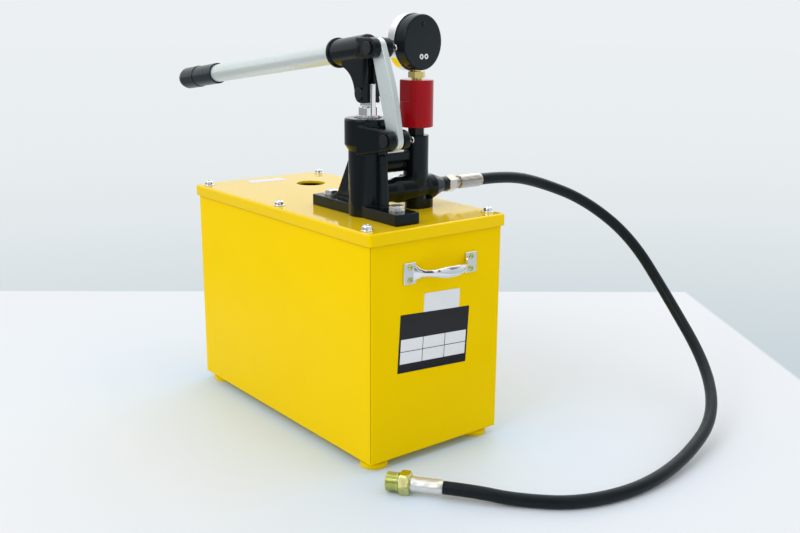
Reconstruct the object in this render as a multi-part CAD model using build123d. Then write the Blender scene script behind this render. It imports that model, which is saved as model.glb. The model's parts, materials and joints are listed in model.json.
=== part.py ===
from build123d import *
import math
import os

os.makedirs("parts", exist_ok=True)

# Hand-operated hydrostatic test pump on its own water tank, in millimetres.
# The origin is on the floor under the middle of the overall length and width.
# +X points to the short face with the front bow handle, the lever points to -X, +Z is up.
# Heights named *_rise are measured up from the top of the lid.

# Overrun of every cut past the face that it leaves
cut = 2.0

# Tank body, folded from sheet
tank_x = 58.7
foot_height = 10.0
body_length = 364.0
body_width = 179.0
body_height = 246.5
body_sheet = 1.5
body_corner_radius = 2.5
flange_width = 18.0

# Lid, a shallow pan turned down over the body
lid_sheet = 1.5
lid_overhang = 3.0
lid_skirt_height = 13.0
lid_edge_radius = 2.5
lid_corner_radius = 3.5
lid_top = foot_height + body_height + lid_sheet
lid_length = body_length + 2 * lid_overhang
lid_width = body_width + 2 * lid_overhang
filler_radius = 18.0
filler_lip_height = 2.0
filler_end_inset = 75.0
filler_x = tank_x - body_length / 2 + filler_end_inset
filler_y = 30.0

# Lid screws
lid_screw_radius = 3.0
lid_screw_length = 14.0
lid_screw_head_radius = 6.25
lid_screw_dome_radius = 5.2
lid_screw_rim_height = 1.2
lid_screw_head_height = 6.6
lid_screw_crown_share = 0.4
lid_screw_slot_share = 0.7
lid_screw_slot_width = 1.4
lid_screw_slot_depth = 1.6
lid_screw_end_inset = 18.0
lid_screw_side_inset = 10.0
screw_hole_clearance = 0.3
face_clearance = 0.05

# Feet
foot_radius = 15.0
foot_neck_radius = 11.0
foot_step_height = 6.0
foot_end_inset = 19.0
foot_side_inset = 18.5
foot_edge_radius = 1.0

# Bow handles on both short faces
bow_y = 2.0
bow_drop = 47.7
bow_half_span = 42.0
bow_plate_width = 16.0
bow_plate_height = 23.0
bow_plate_thickness = 2.0
bow_reach = 23.0
bow_thickness = 6.0
bow_mid_height = 11.0
bow_neck_height = 8.0
bow_neck_share = 0.66
bow_root_share = 0.62
bow_shoulder_share = 0.32
bow_edge_radius = 1.2
bow_screw_spacing = 13.5
bow_screw_radius = 2.0
bow_screw_length = 7.0
bow_screw_head_radius = 3.4
bow_screw_head_height = 1.8
bow_screw_rim_share = 0.4
bow_screw_dome_share = 0.7

# Pump casting: base plate and its bolts
pump_end_inset = 83.0
pump_x = tank_x + body_length / 2 - pump_end_inset
pump_y = -31.0
base_length = 156.0
base_width = 31.0
base_thickness = 12.0
base_swell_radius = 21.0
base_corner_radius = 2.5
base_shift_x = -6.0
base_shift_y = -1.5
bolt_spacing = 119.5
bolt_shift_x = -7.5
bolt_radius = 4.0
bolt_hole_radius = 4.5
bolt_head_flats = 14.0
bolt_head_height = 4.2
bolt_head_side_share = 0.75
bolt_head_top_share = 0.95
bolt_thread_past_nut = 3.0
washer_radius = 8.6
washer_thickness = 1.6
nut_height = 6.5

# Pump casting: cylinder column and its head
column_radius = 21.0
column_neck_rise = 70.0
head_bottom_rise = 76.0
head_top_rise = 104.0
head_radius = 25.0
head_edge_radius = 2.0
gusset_thickness = 6.0
gusset_foot_reach = 55.0
gusset_top_rise = 76.0
rib_thickness = 9.0
rib_foot_reach = 32.0
rib_top_reach = 27.0

# Pump casting: ear that holds the link's lower pin
ear_pin_reach = 47.0
ear_pin_rise = 84.6
ear_end_radius = 10.2
ear_edge_radius = 2.0
ear_root_reach = 10.0
ear_root_top_rise = 98.0
ear_root_bottom_rise = 66.5
ear_width = 27.0
ear_slot_width = 11.0

# Pump casting: valve barrel, gauge column, rear foot and release boss
valve_y = 35.0
barrel_rise = 22.5
barrel_neck_radius = 12.5
barrel_bulge_radius = 14.5
barrel_collar_radius = 14.0
barrel_nose_radius = 8.6
barrel_bulge_start_y = 8.0
barrel_bulge_end_y = 28.0
barrel_waist_y = 44.0
barrel_collar_start_y = 49.0
barrel_collar_end_y = 57.0
barrel_nose_start_y = 71.0
barrel_end_y = 76.0
gauge_column_radius = 13.8
gauge_column_flare_radius = 14.4
gauge_column_flare_rise = 34.0
gauge_column_flare_end_rise = 43.0
gauge_column_top_rise = 81.5
web_thickness = 9.0
web_bottom_rise = 55.5
web_top_rise = 64.5
web_roll_radius = 9.0
web_roll_rise = 50.0
web_roll_reach = 9.0
rear_foot_radius = 12.0
rear_foot_thickness = 10.0
rear_foot_end_y = 57.0
rear_bolt_reach = 24.0
rear_bolt_x = pump_x - rear_bolt_reach
rear_bolt_y = 55.0
release_rise = 26.0
release_boss_radius = 9.0
release_boss_reach = 20.0

# Pump casting: bores
plunger_clearance = 0.05
bore_bottom_rise = 14.0
gland_bore_radius = 15.0
gland_bore_depth = 22.0
spigot_radius = 14.0
spigot_length = 10.0
spigot_clearance = 0.5
suction_bore_radius = 8.0
suction_bore_top_rise = 8.0
suction_port_radius = 4.0
cross_port_radius = 4.0
delivery_seat_y = 6.0
delivery_bore_radius = 7.0
gauge_port_radius = 3.0
gauge_thread_radius = 7.0
gauge_thread_depth = 12.0
release_port_radius = 2.0
release_thread_radius = 5.0

# Plunger and its gland
plunger_radius = 9.75
plunger_shoulder_rise = 116.0
plunger_bottom_rise = 21.0
plunger_shoulder_chamfer = 1.0
tongue_thickness = 6.5
tongue_top_rise = 139.5
tongue_edge_radius = 1.5
plunger_pin_rise = 129.3
packing_height = 10.0
gland_collar_radius = 12.5
gland_collar_rise = 106.5
gland_thread_bottom_rise = 92.5
gland_spanner_slot_width = 3.0
gland_spanner_slot_depth = 1.5

# Linkage pins and split pins
pin_radius = 4.0
pin_head_radius = 6.5
pin_head_thickness = 2.5
pin_clearance = 0.06
pin_tail = 5.0
split_pin_radius = 0.9
split_pin_inset = 2.4
split_pin_leg = 6.5
split_pin_eye_radius = 3.0

# Link between the ear and the lever
link_pin_reach = 18.0
link_pin_rise = 176.5
link_thickness = 7.0
link_eye_radius = 10.5
link_shank_width = 15.5
link_bulge = 6.5
link_edge_radius = 1.0
open_pivot_play = 2.3

# Lever head: cheeks, nose lobes and the handle's socket
cheek_width = 21.0
cheek_end_radius = 9.5
cheek_front_reach = 5.6
cheek_slot_width = 7.2
cheek_slot_radius = 14.5
cheek_shoulder_reach = 33.0
cheek_shoulder_rise = 155.5
cheek_hollow_reach = 15.5
cheek_hollow_rise = 145.0
cheek_top_rise = 172.0
nose_width = 26.0
nose_radius = 10.5
nose_back_reach = 3.7
link_slot_width = 8.0
link_slot_back_reach = 4.5
handle_slope = 7.3
socket_radius = 14.4
socket_mouth_reach = 55.0
socket_mouth_rise = 168.8
socket_collar_radius = 16.2
socket_collar_length = 4.0
socket_end_reach = 4.0
socket_bore_depth = 44.0
lever_edge_radius = 1.5
set_screw_radius = 3.0
set_screw_inset = 11.0
set_screw_socket_radius = 1.5

# Handle tube and grip
tube_radius = 11.2
tube_wall = 2.0
tube_fit = 0.05
tube_length = 409.0
grip_radius = 13.2
grip_end_radius = 14.0
grip_length = 94.0
grip_end_length = 44.0
grip_nose_length = 4.0
grip_dome_radius = 10.0
grip_lip_radius = 0.8
grip_dome_shoulder_share = 0.85
grip_dome_crown_share = 0.5
grip_dome_rise_share = 0.3

# Suction line inside the tank
connector_flange_flats = 22.0
connector_flange_height = 7.0
connector_bore_radius = 4.0
connector_spigot_radius = 6.0
connector_spigot_length = 14.0
suction_ball_radius = 5.5
ball_gap = 0.15
suction_ball_travel = 2.0
pipe_wall = 2.0
pipe_bottom_rise = -216.0
strainer_radius = 16.0
strainer_height = 24.0
strainer_wall = 2.0
strainer_slot_count = 8
strainer_slot_width = 4.0
strainer_slot_share = 0.6
strainer_slot_rise_share = 0.42
suction_seat_share = 0.35

# Delivery valve and outlet
delivery_ball_radius = 5.5
delivery_ball_travel = 2.0
spring_turns = 6
spring_mean_radius = 4.6
spring_wire = 1.2
nipple_bore_radius = 3.0
nipple_inner_length = 18.0
nipple_collar_radius = 8.3
nipple_collar_length = 3.0
nipple_cone_length = 12.0
nipple_cone_radius = 6.0

# Release valve on the hidden side
release_gland_flats = 14.0
release_gland_height = 7.0
release_spindle_radius = 3.5
release_spindle_reach = 38.0
release_head_radius = 5.0
release_head_length = 8.0
release_bar_radius = 2.5
release_bar_length = 26.0
release_bar_tilt = -14.0

# Damper and gauge
nipple_flats = 17.0
nipple_neck_length = 8.9
nipple_turn = 16.0
damper_height = 51.0
damper_bottom_rise = gauge_column_top_rise + nipple_neck_length
damper_top_rise = damper_bottom_rise + damper_height
damper_radius = 18.5
damper_bore_radius = 3.0
damper_edge_radius = 1.0
damper_flat_depth = 2.0
damper_flat_height = 23.0
stem_hex_flats = 17.0
stem_hex_gap = 2.1
stem_hex_height = 6.45
stem_hex_bottom_rise = damper_top_rise + stem_hex_gap
stem_radius = 6.0
stem_neck_radius = 4.5
stem_thread_depth = 12.0
gauge_turn = 8.0
case_radius = 29.6
case_wall = 1.5
case_back_depth = 9.5
case_front_depth = 12.5
case_edge_radius = 2.0
bezel_radius = 31.0
gauge_rise = stem_hex_bottom_rise + stem_hex_height + face_clearance + bezel_radius
bezel_back_depth = 5.0
bezel_front_depth = 16.0
bezel_lip = 5.0
bezel_lip_thickness = 1.4
bezel_edge_radius = 1.5
glass_thickness = 2.0
dial_thickness = 0.8
dial_depth = 6.5
pointer_depth = 9.0
pointer_thickness = 0.6
pointer_hub_radius = 2.6
pointer_length = 20.0
pointer_tail = 8.0
pointer_root_width = 2.4
pointer_tip_width = 0.6
pointer_zero_angle = 135.0
pivot_radius = 0.8
bourdon_radius = 15.0
bourdon_tube_radius = 2.2
bourdon_depth = -2.0
bourdon_sweep = 250.0
bourdon_start_angle = 262.0
dial_post_radius = 1.2
dial_post_offset = 9.0
block_width = 12.0
block_depth = 9.0
case_screw_radius = 1.6
case_screw_head_radius = 2.4
case_screw_head_height = 1.2
case_screw_spacing = 7.5
case_screw_drop = 15.0
vent_plug_radius = 2.5
vent_plug_height = 0.8
vent_plug_climb = 19.0

# Hose, its ferrules, the swivel nut at the pump and the end fitting
hose_radius = 6.75
ferrule_radius = 7.75
ferrule_end_radius = 7.1
ferrule_length = 33.5
ferrule_groove_depth = 0.5
ferrule_groove_width = 2.0
ferrule_groove_count = 4
ferrule_body_share = 0.8
outlet_reach = 55.5
swivel_flats = 17.0
swivel_length = 11.0
swivel_gap = 1.5
end_hex_flats = 22.0
end_hex_length = 11.0
end_thread_radius = 10.0
end_thread_length = 14.0
end_bore_radius = 4.5
end_thread_chamfer = 1.2
radius_share = 0.45

# Derived places shared by several pieces
body_floor = foot_height
outlet_y = barrel_end_y + outlet_reach
barrel_z = lid_top + barrel_rise
release_z = lid_top + release_rise
plunger_pin_z = lid_top + plunger_pin_rise
ear_pin_x = pump_x + ear_pin_reach
ear_pin_z = lid_top + ear_pin_rise
link_pin_x = pump_x + link_pin_reach
link_pin_z = lid_top + link_pin_rise
gauge_z = lid_top + gauge_rise
bore_radius = plunger_radius + plunger_clearance
hex_corner = 1 / math.cos(math.radians(30))
fitting_z = end_hex_flats / 2 + face_clearance
fitting_share = (fitting_z - hose_radius) / (barrel_z - hose_radius)

# Hose route, chosen by hand: along X and along Y from the ferrule's mouth at the pump,
# then the share of the outlet's height above a hose that lies on the floor
route_shares = [
    (0.0, 0.0, 1.0),
    (0.0, 44.5, 1.0),
    (-1.0, 100.5, 0.954),
    (13.0, 172.5, 0.849),
    (47.0, 226.5, 0.666),
    (102.0, 238.5, 0.41),
    (182.0, 216.5, 0.176),
    (244.0, 148.5, 0.07),
    (272.0, 62.5, 0.016),
    (285.0, -25.5, 0.0),
    (269.0, -103.5, 0.0),
    (225.0, -148.5, 0.0),
    (194.0, -173.5, fitting_share),
    (168.0, -193.5, fitting_share),
]
route = [
    (pump_x + x, outlet_y + y, hose_radius + share * (barrel_z - hose_radius))
    for x, y, share in route_shares
]


def along_y(shape):
    return Rot(-90, 0, 0) * shape


def along_minus_x(shape):
    return Rot(0, -90, 0) * shape


def slab_y(face, middle_y, width):
    """A profile drawn in X and Z, as thick as width, about the plane Y = middle_y."""
    return Pos(0, middle_y, 0) * extrude(Plane.XZ * face, width / 2, both=True)


def disc(radius, height):
    return Cylinder(radius, height, align=(Align.CENTER, Align.CENTER, Align.MIN))


def hexagon(flats, height):
    return extrude(RegularPolygon(flats / 2 * hex_corner, 6), height)


def turned(points):
    """A solid of revolution about Z, from points that give radius and height."""
    return revolve(Plane.XZ * make_face(Polyline(*points, close=True)), Axis.Z)


def sheet_box(length, width, height, corner):
    face = RectangleRounded(length, width, corner)
    return extrude(face, height)


lid_screw_places = [
    (tank_x + x, y)
    for x, y in [
        (sx * (lid_length / 2 - lid_screw_end_inset), sy * (lid_width / 2 - lid_screw_side_inset))
        for sx in (-1, 0, 1)
        for sy in (-1, 1)
    ]
]
base_bolt_places = [
    (pump_x + bolt_shift_x - bolt_spacing / 2, pump_y + base_shift_y, base_thickness),
    (pump_x + bolt_shift_x + bolt_spacing / 2, pump_y + base_shift_y, base_thickness),
    (rear_bolt_x, rear_bolt_y, rear_foot_thickness),
]
foot_places = [
    (tank_x + sx * (body_length / 2 - foot_end_inset), sy * (body_width / 2 - foot_side_inset))
    for sx in (-1, 1)
    for sy in (-1, 1)
]
bow_screw_offsets = [
    (sy * bow_half_span, sz * bow_screw_spacing / 2) for sy in (-1, 1) for sz in (-1, 1)
]


def make_tank_shell():
    outer = sheet_box(body_length, body_width, body_height, body_corner_radius)
    inner_height = body_height - 2 * body_sheet
    inner = sheet_box(
        body_length - 2 * body_sheet,
        body_width - 2 * body_sheet,
        inner_height,
        body_corner_radius - body_sheet,
    )
    mouth = sheet_box(
        body_length - 2 * flange_width,
        body_width - 2 * flange_width,
        body_sheet + cut,
        body_corner_radius,
    )
    shell = Pos(tank_x, 0, body_floor) * (
        outer - Pos(0, 0, body_sheet) * inner - Pos(0, 0, body_sheet + inner_height - cut / 2) * mouth
    )
    hole = disc(lid_screw_radius + screw_hole_clearance, body_sheet + cut)
    for x, y in lid_screw_places:
        shell -= Pos(x, y, body_floor + body_height - body_sheet - cut / 2) * hole
    relief = disc(bolt_head_flats / 2 * hex_corner + screw_hole_clearance, body_sheet + cut)
    for x, y, _ in base_bolt_places:
        shell -= Pos(x, y, body_floor + body_height - body_sheet - cut / 2) * relief
    screw_hole = disc(bow_screw_radius + screw_hole_clearance, body_sheet + cut)
    for side in (-1, 1):
        wall_x = tank_x + side * body_length / 2
        for y, z in bow_screw_offsets:
            place = Pos(wall_x - side * (body_sheet + cut / 2), bow_y + y, lid_top - bow_drop + z)
            shell -= place * Rot(0, side * 90, 0) * screw_hole
    return shell


def make_tank_lid():
    outer_height = lid_skirt_height
    outer = sheet_box(lid_length, lid_width, outer_height, lid_corner_radius)
    rim = outer.faces().sort_by(Axis.Z)[-1].edges()
    outer = fillet(rim, lid_edge_radius)
    inner = sheet_box(
        lid_length - 2 * lid_sheet,
        lid_width - 2 * lid_sheet,
        outer_height - lid_sheet + cut,
        lid_corner_radius - lid_sheet,
    )
    inner_rim = inner.faces().sort_by(Axis.Z)[-1].edges()
    inner = fillet(inner_rim, lid_edge_radius - lid_sheet)
    lid = Pos(tank_x, 0, lid_top - outer_height) * (outer - Pos(0, 0, -cut) * inner)
    lip = disc(filler_radius + lid_sheet, filler_lip_height + lid_sheet)
    lid += Pos(filler_x, filler_y, lid_top - lid_sheet - filler_lip_height) * lip
    through = lid_sheet + filler_lip_height + 2 * cut
    bottom = lid_top - lid_sheet - filler_lip_height - cut
    lid -= Pos(filler_x, filler_y, bottom) * disc(filler_radius, through)
    for x, y in lid_screw_places:
        lid -= Pos(x, y, bottom) * disc(lid_screw_radius + screw_hole_clearance, through)
    for x, y, _ in base_bolt_places:
        lid -= Pos(x, y, bottom) * disc(bolt_hole_radius, through)
    lid -= Pos(pump_x, pump_y, bottom) * disc(spigot_radius + spigot_clearance, through)
    return lid


def make_lid_screws():
    profile = [
        (0, 0),
        (lid_screw_head_radius, 0),
        (lid_screw_head_radius, lid_screw_rim_height),
        (lid_screw_dome_radius, lid_screw_rim_height),
        (lid_screw_dome_radius, lid_screw_head_height * (1 - lid_screw_crown_share / 2)),
        (lid_screw_dome_radius * (1 - lid_screw_crown_share), lid_screw_head_height),
        (0, lid_screw_head_height),
    ]
    screw = turned(profile) + Pos(0, 0, -lid_screw_length) * disc(lid_screw_radius, lid_screw_length)
    slot_length = 2 * lid_screw_dome_radius * lid_screw_slot_share
    slot = Box(slot_length, lid_screw_slot_width, 2 * lid_screw_slot_depth)
    slot += Box(lid_screw_slot_width, slot_length, 2 * lid_screw_slot_depth)
    screw -= Pos(0, 0, lid_screw_head_height) * slot
    return [Pos(x, y, lid_top + face_clearance) * screw for x, y in lid_screw_places]


def make_tank_feet():
    foot = disc(foot_radius, foot_step_height)
    foot = fillet(foot.edges(), foot_edge_radius)
    foot += Pos(0, 0, foot_step_height - foot_edge_radius) * disc(
        foot_neck_radius, foot_height - foot_step_height + foot_edge_radius
    )
    return [Pos(x, y, 0) * foot for x, y in foot_places]


def bow_handle_blank():
    """Bow handle on a wall at X = 0, standing out along +X, with its middle at the origin."""
    inner_reach = bow_reach - bow_thickness
    plate_inner = bow_half_span - bow_plate_width / 2
    plate_outer = bow_half_span + bow_plate_width / 2
    outer_arc = ThreePointArc((0, -bow_half_span), (bow_reach, 0), (0, bow_half_span))
    inner_arc = ThreePointArc((0, plate_inner), (inner_reach, 0), (0, -plate_inner))
    left_foot = Line((0, -plate_inner), (0, -bow_half_span))
    right_foot = Line((0, bow_half_span), (0, plate_inner))
    band = make_face([outer_arc, right_foot, inner_arc, left_foot])
    band = extrude(band, bow_plate_height / 2, both=True)
    shares = [
        (0.0, bow_mid_height / 2),
        (bow_shoulder_share, bow_mid_height / 2),
        (bow_neck_share, bow_neck_height / 2),
    ]
    top = [(share * bow_half_span, half) for share, half in shares]
    top += [(plate_inner, bow_plate_height / 2 * bow_root_share), (bow_half_span, bow_plate_height / 2)]
    upper = Spline(*[(-y, z) for y, z in reversed(top[1:])], *top)
    lower = Spline(*[(y, -z) for y, z in reversed(top)], *[(-y, -z) for y, z in top[1:]])
    right = Line(upper @ 1, lower @ 0)
    left = Line(lower @ 1, upper @ 0)
    waist = make_face([upper, right, lower, left])
    waist = extrude(Plane.YZ * waist, bow_reach + cut)
    bow = band & waist
    plate = Box(bow_plate_thickness, bow_plate_width, bow_plate_height)
    plate = fillet(plate.edges().filter_by(Axis.X), bow_edge_radius)
    hole = Rot(0, 90, 0) * Cylinder(bow_screw_radius + screw_hole_clearance, bow_plate_thickness + 2 * cut)
    for side in (-1, 1):
        bow += Pos(bow_plate_thickness / 2, side * bow_half_span, 0) * plate
    head = Rot(0, 90, 0) * disc(bow_screw_head_radius + screw_hole_clearance, bow_reach)
    for y, z in bow_screw_offsets:
        bow -= Pos(0, y, z) * hole
        bow -= Pos(bow_plate_thickness, y, z) * head
    return bow


def make_bow_handle(side):
    turn = 0 if side > 0 else 180
    wall_x = tank_x + side * (body_length / 2 + face_clearance)
    return Pos(wall_x, bow_y, lid_top - bow_drop) * Rot(0, 0, turn) * bow_handle_blank()


def make_handle_screws():
    shank = disc(bow_screw_radius, bow_screw_length)
    profile = [
        (0, 0),
        (bow_screw_head_radius, 0),
        (bow_screw_head_radius, bow_screw_head_height * bow_screw_rim_share),
        (bow_screw_head_radius * bow_screw_dome_share, bow_screw_head_height),
        (0, bow_screw_head_height),
    ]
    screw = turned(profile) + Pos(0, 0, -bow_screw_length) * shank
    screws = []
    for side in (-1, 1):
        stand_off = body_length / 2 + bow_plate_thickness + 2 * face_clearance
        for y, z in bow_screw_offsets:
            place = Pos(tank_x + side * stand_off, bow_y + side * y, lid_top - bow_drop + z)
            screws.append(place * Rot(0, side * 90, 0) * screw)
    return screws


def casting_base():
    plate = RectangleRounded(base_length, base_width, base_corner_radius)
    plate = Pos(base_shift_x, base_shift_y) * plate + Circle(base_swell_radius)
    base = extrude(plate, base_thickness)
    rim = base.faces().sort_by(Axis.Z)[-1].edges()
    base = fillet(rim, head_edge_radius / 2)
    return Pos(pump_x, pump_y, lid_top) * base


def casting_column():
    column = turned(
        [
            (0, 0),
            (column_radius, 0),
            (column_radius, column_neck_rise),
            (head_radius, head_bottom_rise),
            (head_radius, head_top_rise),
            (0, head_top_rise),
        ]
    )
    rim = column.edges().filter_by(GeomType.CIRCLE).sort_by(Axis.Z)[-1]
    column = fillet(rim, head_edge_radius)
    return Pos(pump_x, pump_y, lid_top) * column


def casting_gusset():
    foot_z = lid_top + base_thickness / 2
    outline = Polyline(
        (pump_x, foot_z),
        (pump_x - gusset_foot_reach, foot_z),
        (pump_x - gusset_foot_reach, lid_top + base_thickness + head_edge_radius),
        (pump_x - column_radius, lid_top + gusset_top_rise),
        (pump_x, lid_top + gusset_top_rise),
        close=True,
    )
    return slab_y(make_face(outline), pump_y, gusset_thickness)


def casting_rib():
    foot_z = lid_top + base_thickness / 2
    outline = Polyline(
        (pump_x, foot_z),
        (pump_x + rib_foot_reach, foot_z),
        (pump_x + rib_top_reach, lid_top + head_bottom_rise),
        (pump_x, lid_top + head_bottom_rise),
        close=True,
    )
    return slab_y(make_face(outline), pump_y, rib_thickness)


def casting_ear():
    """Fork for the link's lower pin, with sides that run on from the round of the head."""
    root_x = pump_x + ear_root_reach
    eye = Pos(ear_pin_x, ear_pin_z) * Circle(ear_end_radius)
    root = Line(
        (root_x, lid_top + ear_root_bottom_rise),
        (root_x, lid_top + ear_root_top_rise),
    )
    face = make_hull([*eye.edges(), root])
    head = Pos(pump_x, pump_y) * Circle(head_radius)
    fork_reach = ear_pin_reach - ear_end_radius
    full_reach = ear_pin_reach + ear_end_radius + cut
    blend = Pos(pump_x + fork_reach / 2, pump_y) * Rectangle(fork_reach, ear_width)
    plan = make_hull([*head.edges(), *blend.edges()])
    plan += Pos(pump_x + full_reach / 2, pump_y) * Rectangle(full_reach, ear_width)
    height = 2 * ear_end_radius + ear_root_top_rise - ear_root_bottom_rise
    prism = Pos(0, 0, ear_pin_z) * extrude(plan, height / 2, both=True)
    ear = slab_y(face, pump_y, 2 * head_radius) & prism
    side = ear_width / 2 - face_clearance
    outer = ear.edges().filter_by(lambda e: abs(e.center().Y - pump_y) > side)
    rims = outer.filter_by(lambda e: e.center().X > root_x + cut)
    return fillet(rims - rims.filter_by(Axis.Z), ear_edge_radius)


def casting_barrel():
    profile = [
        (0, pump_y),
        (barrel_neck_radius, pump_y),
        (barrel_neck_radius, 0),
        (barrel_bulge_radius, barrel_bulge_start_y),
        (barrel_bulge_radius, barrel_bulge_end_y),
        (barrel_neck_radius, barrel_waist_y),
        (barrel_collar_radius, barrel_collar_start_y),
        (barrel_collar_radius, barrel_collar_end_y),
        (barrel_nose_radius, barrel_nose_start_y),
        (barrel_nose_radius, barrel_end_y),
        (0, barrel_end_y),
    ]
    return Pos(pump_x, 0, barrel_z) * along_y(turned(profile))


def casting_gauge_column():
    profile = [
        (0, 0),
        (rear_foot_radius, 0),
        (rear_foot_radius, gauge_column_flare_rise / 2),
        (gauge_column_flare_radius, gauge_column_flare_rise),
        (gauge_column_radius, gauge_column_flare_end_rise),
        (gauge_column_radius, gauge_column_top_rise),
        (0, gauge_column_top_rise),
    ]
    return Pos(pump_x, valve_y, lid_top) * turned(profile)


def casting_rear_foot():
    near = Pos(pump_x, valve_y) * Circle(rear_foot_radius)
    far = Pos(pump_x, rear_foot_end_y - rear_foot_radius) * Circle(rear_foot_radius)
    lug = Pos(rear_bolt_x, rear_bolt_y) * Circle(rear_foot_radius)
    foot = make_hull([*near.edges(), *far.edges(), *lug.edges()])
    return Pos(0, 0, lid_top) * extrude(foot, rear_foot_thickness)


def casting_passages():
    """Every bore and port of the casting, as one shape to cut away."""
    bore_top = lid_top + head_top_rise
    bore_bottom = lid_top + bore_bottom_rise
    pump_axis = Pos(pump_x, pump_y, 0)
    passages = pump_axis * Pos(0, 0, bore_bottom) * disc(bore_radius, bore_top - bore_bottom + cut)
    gland = disc(gland_bore_radius, gland_bore_depth + cut)
    passages += pump_axis * Pos(0, 0, bore_top - gland_bore_depth) * gland
    suction_top = lid_top + suction_bore_top_rise
    spigot_bottom = lid_top - spigot_length
    suction = disc(suction_bore_radius, suction_top - spigot_bottom + cut)
    passages += pump_axis * Pos(0, 0, spigot_bottom - cut) * suction
    port = disc(suction_port_radius, bore_bottom - suction_top + 2 * cut)
    passages += pump_axis * Pos(0, 0, suction_top - cut) * port
    cross = along_y(disc(cross_port_radius, delivery_seat_y - pump_y + cut))
    passages += Pos(pump_x, pump_y, barrel_z) * cross
    delivery = along_y(disc(delivery_bore_radius, barrel_end_y - delivery_seat_y + cut))
    passages += Pos(pump_x, delivery_seat_y, barrel_z) * delivery
    gauge_top = lid_top + gauge_column_top_rise
    gauge_port = disc(gauge_port_radius, gauge_top - barrel_z)
    passages += Pos(pump_x, valve_y, barrel_z) * gauge_port
    thread = disc(gauge_thread_radius, gauge_thread_depth + cut)
    passages += Pos(pump_x, valve_y, gauge_top - gauge_thread_depth) * thread
    release = along_minus_x(disc(release_port_radius, release_boss_reach))
    passages += Pos(pump_x, valve_y, release_z) * release
    release_thread = along_minus_x(disc(release_thread_radius, release_boss_reach))
    release_start = pump_x - delivery_bore_radius - 2 * release_port_radius
    passages += Pos(release_start, valve_y, release_z) * release_thread
    return passages


def make_pump_casting():
    casting = casting_base() + casting_column() + casting_gusset() + casting_rib() + casting_ear()
    casting += casting_barrel()
    casting += casting_gauge_column()
    casting += casting_rear_foot()
    web_length = valve_y - pump_y
    web = Box(web_thickness, web_length, web_top_rise - web_bottom_rise)
    web_z = lid_top + (web_top_rise + web_bottom_rise) / 2
    casting += Pos(pump_x, pump_y + web_length / 2, web_z) * web
    roll = along_y(disc(web_roll_radius, web_length))
    casting += Pos(pump_x - web_roll_reach, pump_y, lid_top + web_roll_rise) * roll
    boss = along_minus_x(disc(release_boss_radius, release_boss_reach))
    casting += Pos(pump_x, valve_y, release_z) * boss
    casting += Pos(pump_x, pump_y, lid_top - spigot_length) * disc(spigot_radius, spigot_length + cut)
    casting -= casting_passages()
    slot_start = pump_x + head_radius
    slot_length = ear_pin_reach - head_radius + ear_end_radius + cut
    slot = Box(slot_length, ear_slot_width, ear_root_top_rise - ear_root_bottom_rise)
    slot_z = lid_top + (ear_root_top_rise + ear_root_bottom_rise) / 2
    casting -= Pos(slot_start + slot_length / 2, pump_y, slot_z) * slot
    pin_bore = along_y(Cylinder(pin_radius + pin_clearance, ear_width + 2 * cut))
    casting -= Pos(ear_pin_x, pump_y, ear_pin_z) * pin_bore
    for x, y, thickness in base_bolt_places:
        hole = disc(bolt_hole_radius, thickness + 2 * cut)
        casting -= Pos(x, y, lid_top - cut) * hole
    return casting


def make_base_bolts():
    bolts = []
    for x, y, thickness in base_bolt_places:
        head_z = lid_top + thickness + washer_thickness
        length = thickness + washer_thickness + lid_sheet + nut_height + bolt_thread_past_nut
        head = hexagon(bolt_head_flats, bolt_head_height) & turned(
            [
                (0, 0),
                (bolt_head_flats / 2 * hex_corner, 0),
                (bolt_head_flats / 2 * hex_corner, bolt_head_height * bolt_head_side_share),
                (bolt_head_flats / 2 * bolt_head_top_share, bolt_head_height),
                (0, bolt_head_height),
            ]
        )
        bolt = head + Pos(0, 0, -length) * disc(bolt_radius, length)
        bolts.append(Pos(x, y, head_z + face_clearance) * bolt)
    return bolts


def make_base_washers():
    washer = disc(washer_radius, washer_thickness - face_clearance)
    washer -= Pos(0, 0, -cut) * disc(bolt_hole_radius, washer_thickness + 2 * cut)
    return [
        Pos(x, y, lid_top + thickness + face_clearance / 2) * washer
        for x, y, thickness in base_bolt_places
    ]


def make_base_nuts():
    nut = hexagon(bolt_head_flats, nut_height)
    nut -= Pos(0, 0, -cut) * disc(bolt_radius + face_clearance, nut_height + 2 * cut)
    top = lid_top - lid_sheet - face_clearance
    return [Pos(x, y, top - nut_height) * nut for x, y, _ in base_bolt_places]


def make_gland_nut():
    inner = bore_radius + plunger_clearance
    thread = gland_bore_radius - plunger_clearance
    nut = turned(
        [
            (inner, gland_thread_bottom_rise),
            (thread, gland_thread_bottom_rise),
            (thread, head_top_rise - head_edge_radius / 2),
            (gland_collar_radius, head_top_rise - head_edge_radius / 2),
            (gland_collar_radius, gland_collar_rise),
            (inner, gland_collar_rise),
        ]
    )
    slot = Box(2 * (gland_collar_radius + cut), gland_spanner_slot_width, gland_spanner_slot_depth)
    for turn in (45, 135):
        nut -= Rot(0, 0, turn) * Pos(0, 0, gland_collar_rise - gland_spanner_slot_depth / 2) * slot
    return Pos(pump_x, pump_y, lid_top) * nut


def make_plunger_packing():
    bottom = head_top_rise - gland_bore_depth
    ring = disc(gland_bore_radius - plunger_clearance, packing_height)
    ring -= Pos(0, 0, -cut) * disc(bore_radius, packing_height + 2 * cut)
    return Pos(pump_x, pump_y, lid_top + bottom + face_clearance) * ring


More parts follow.
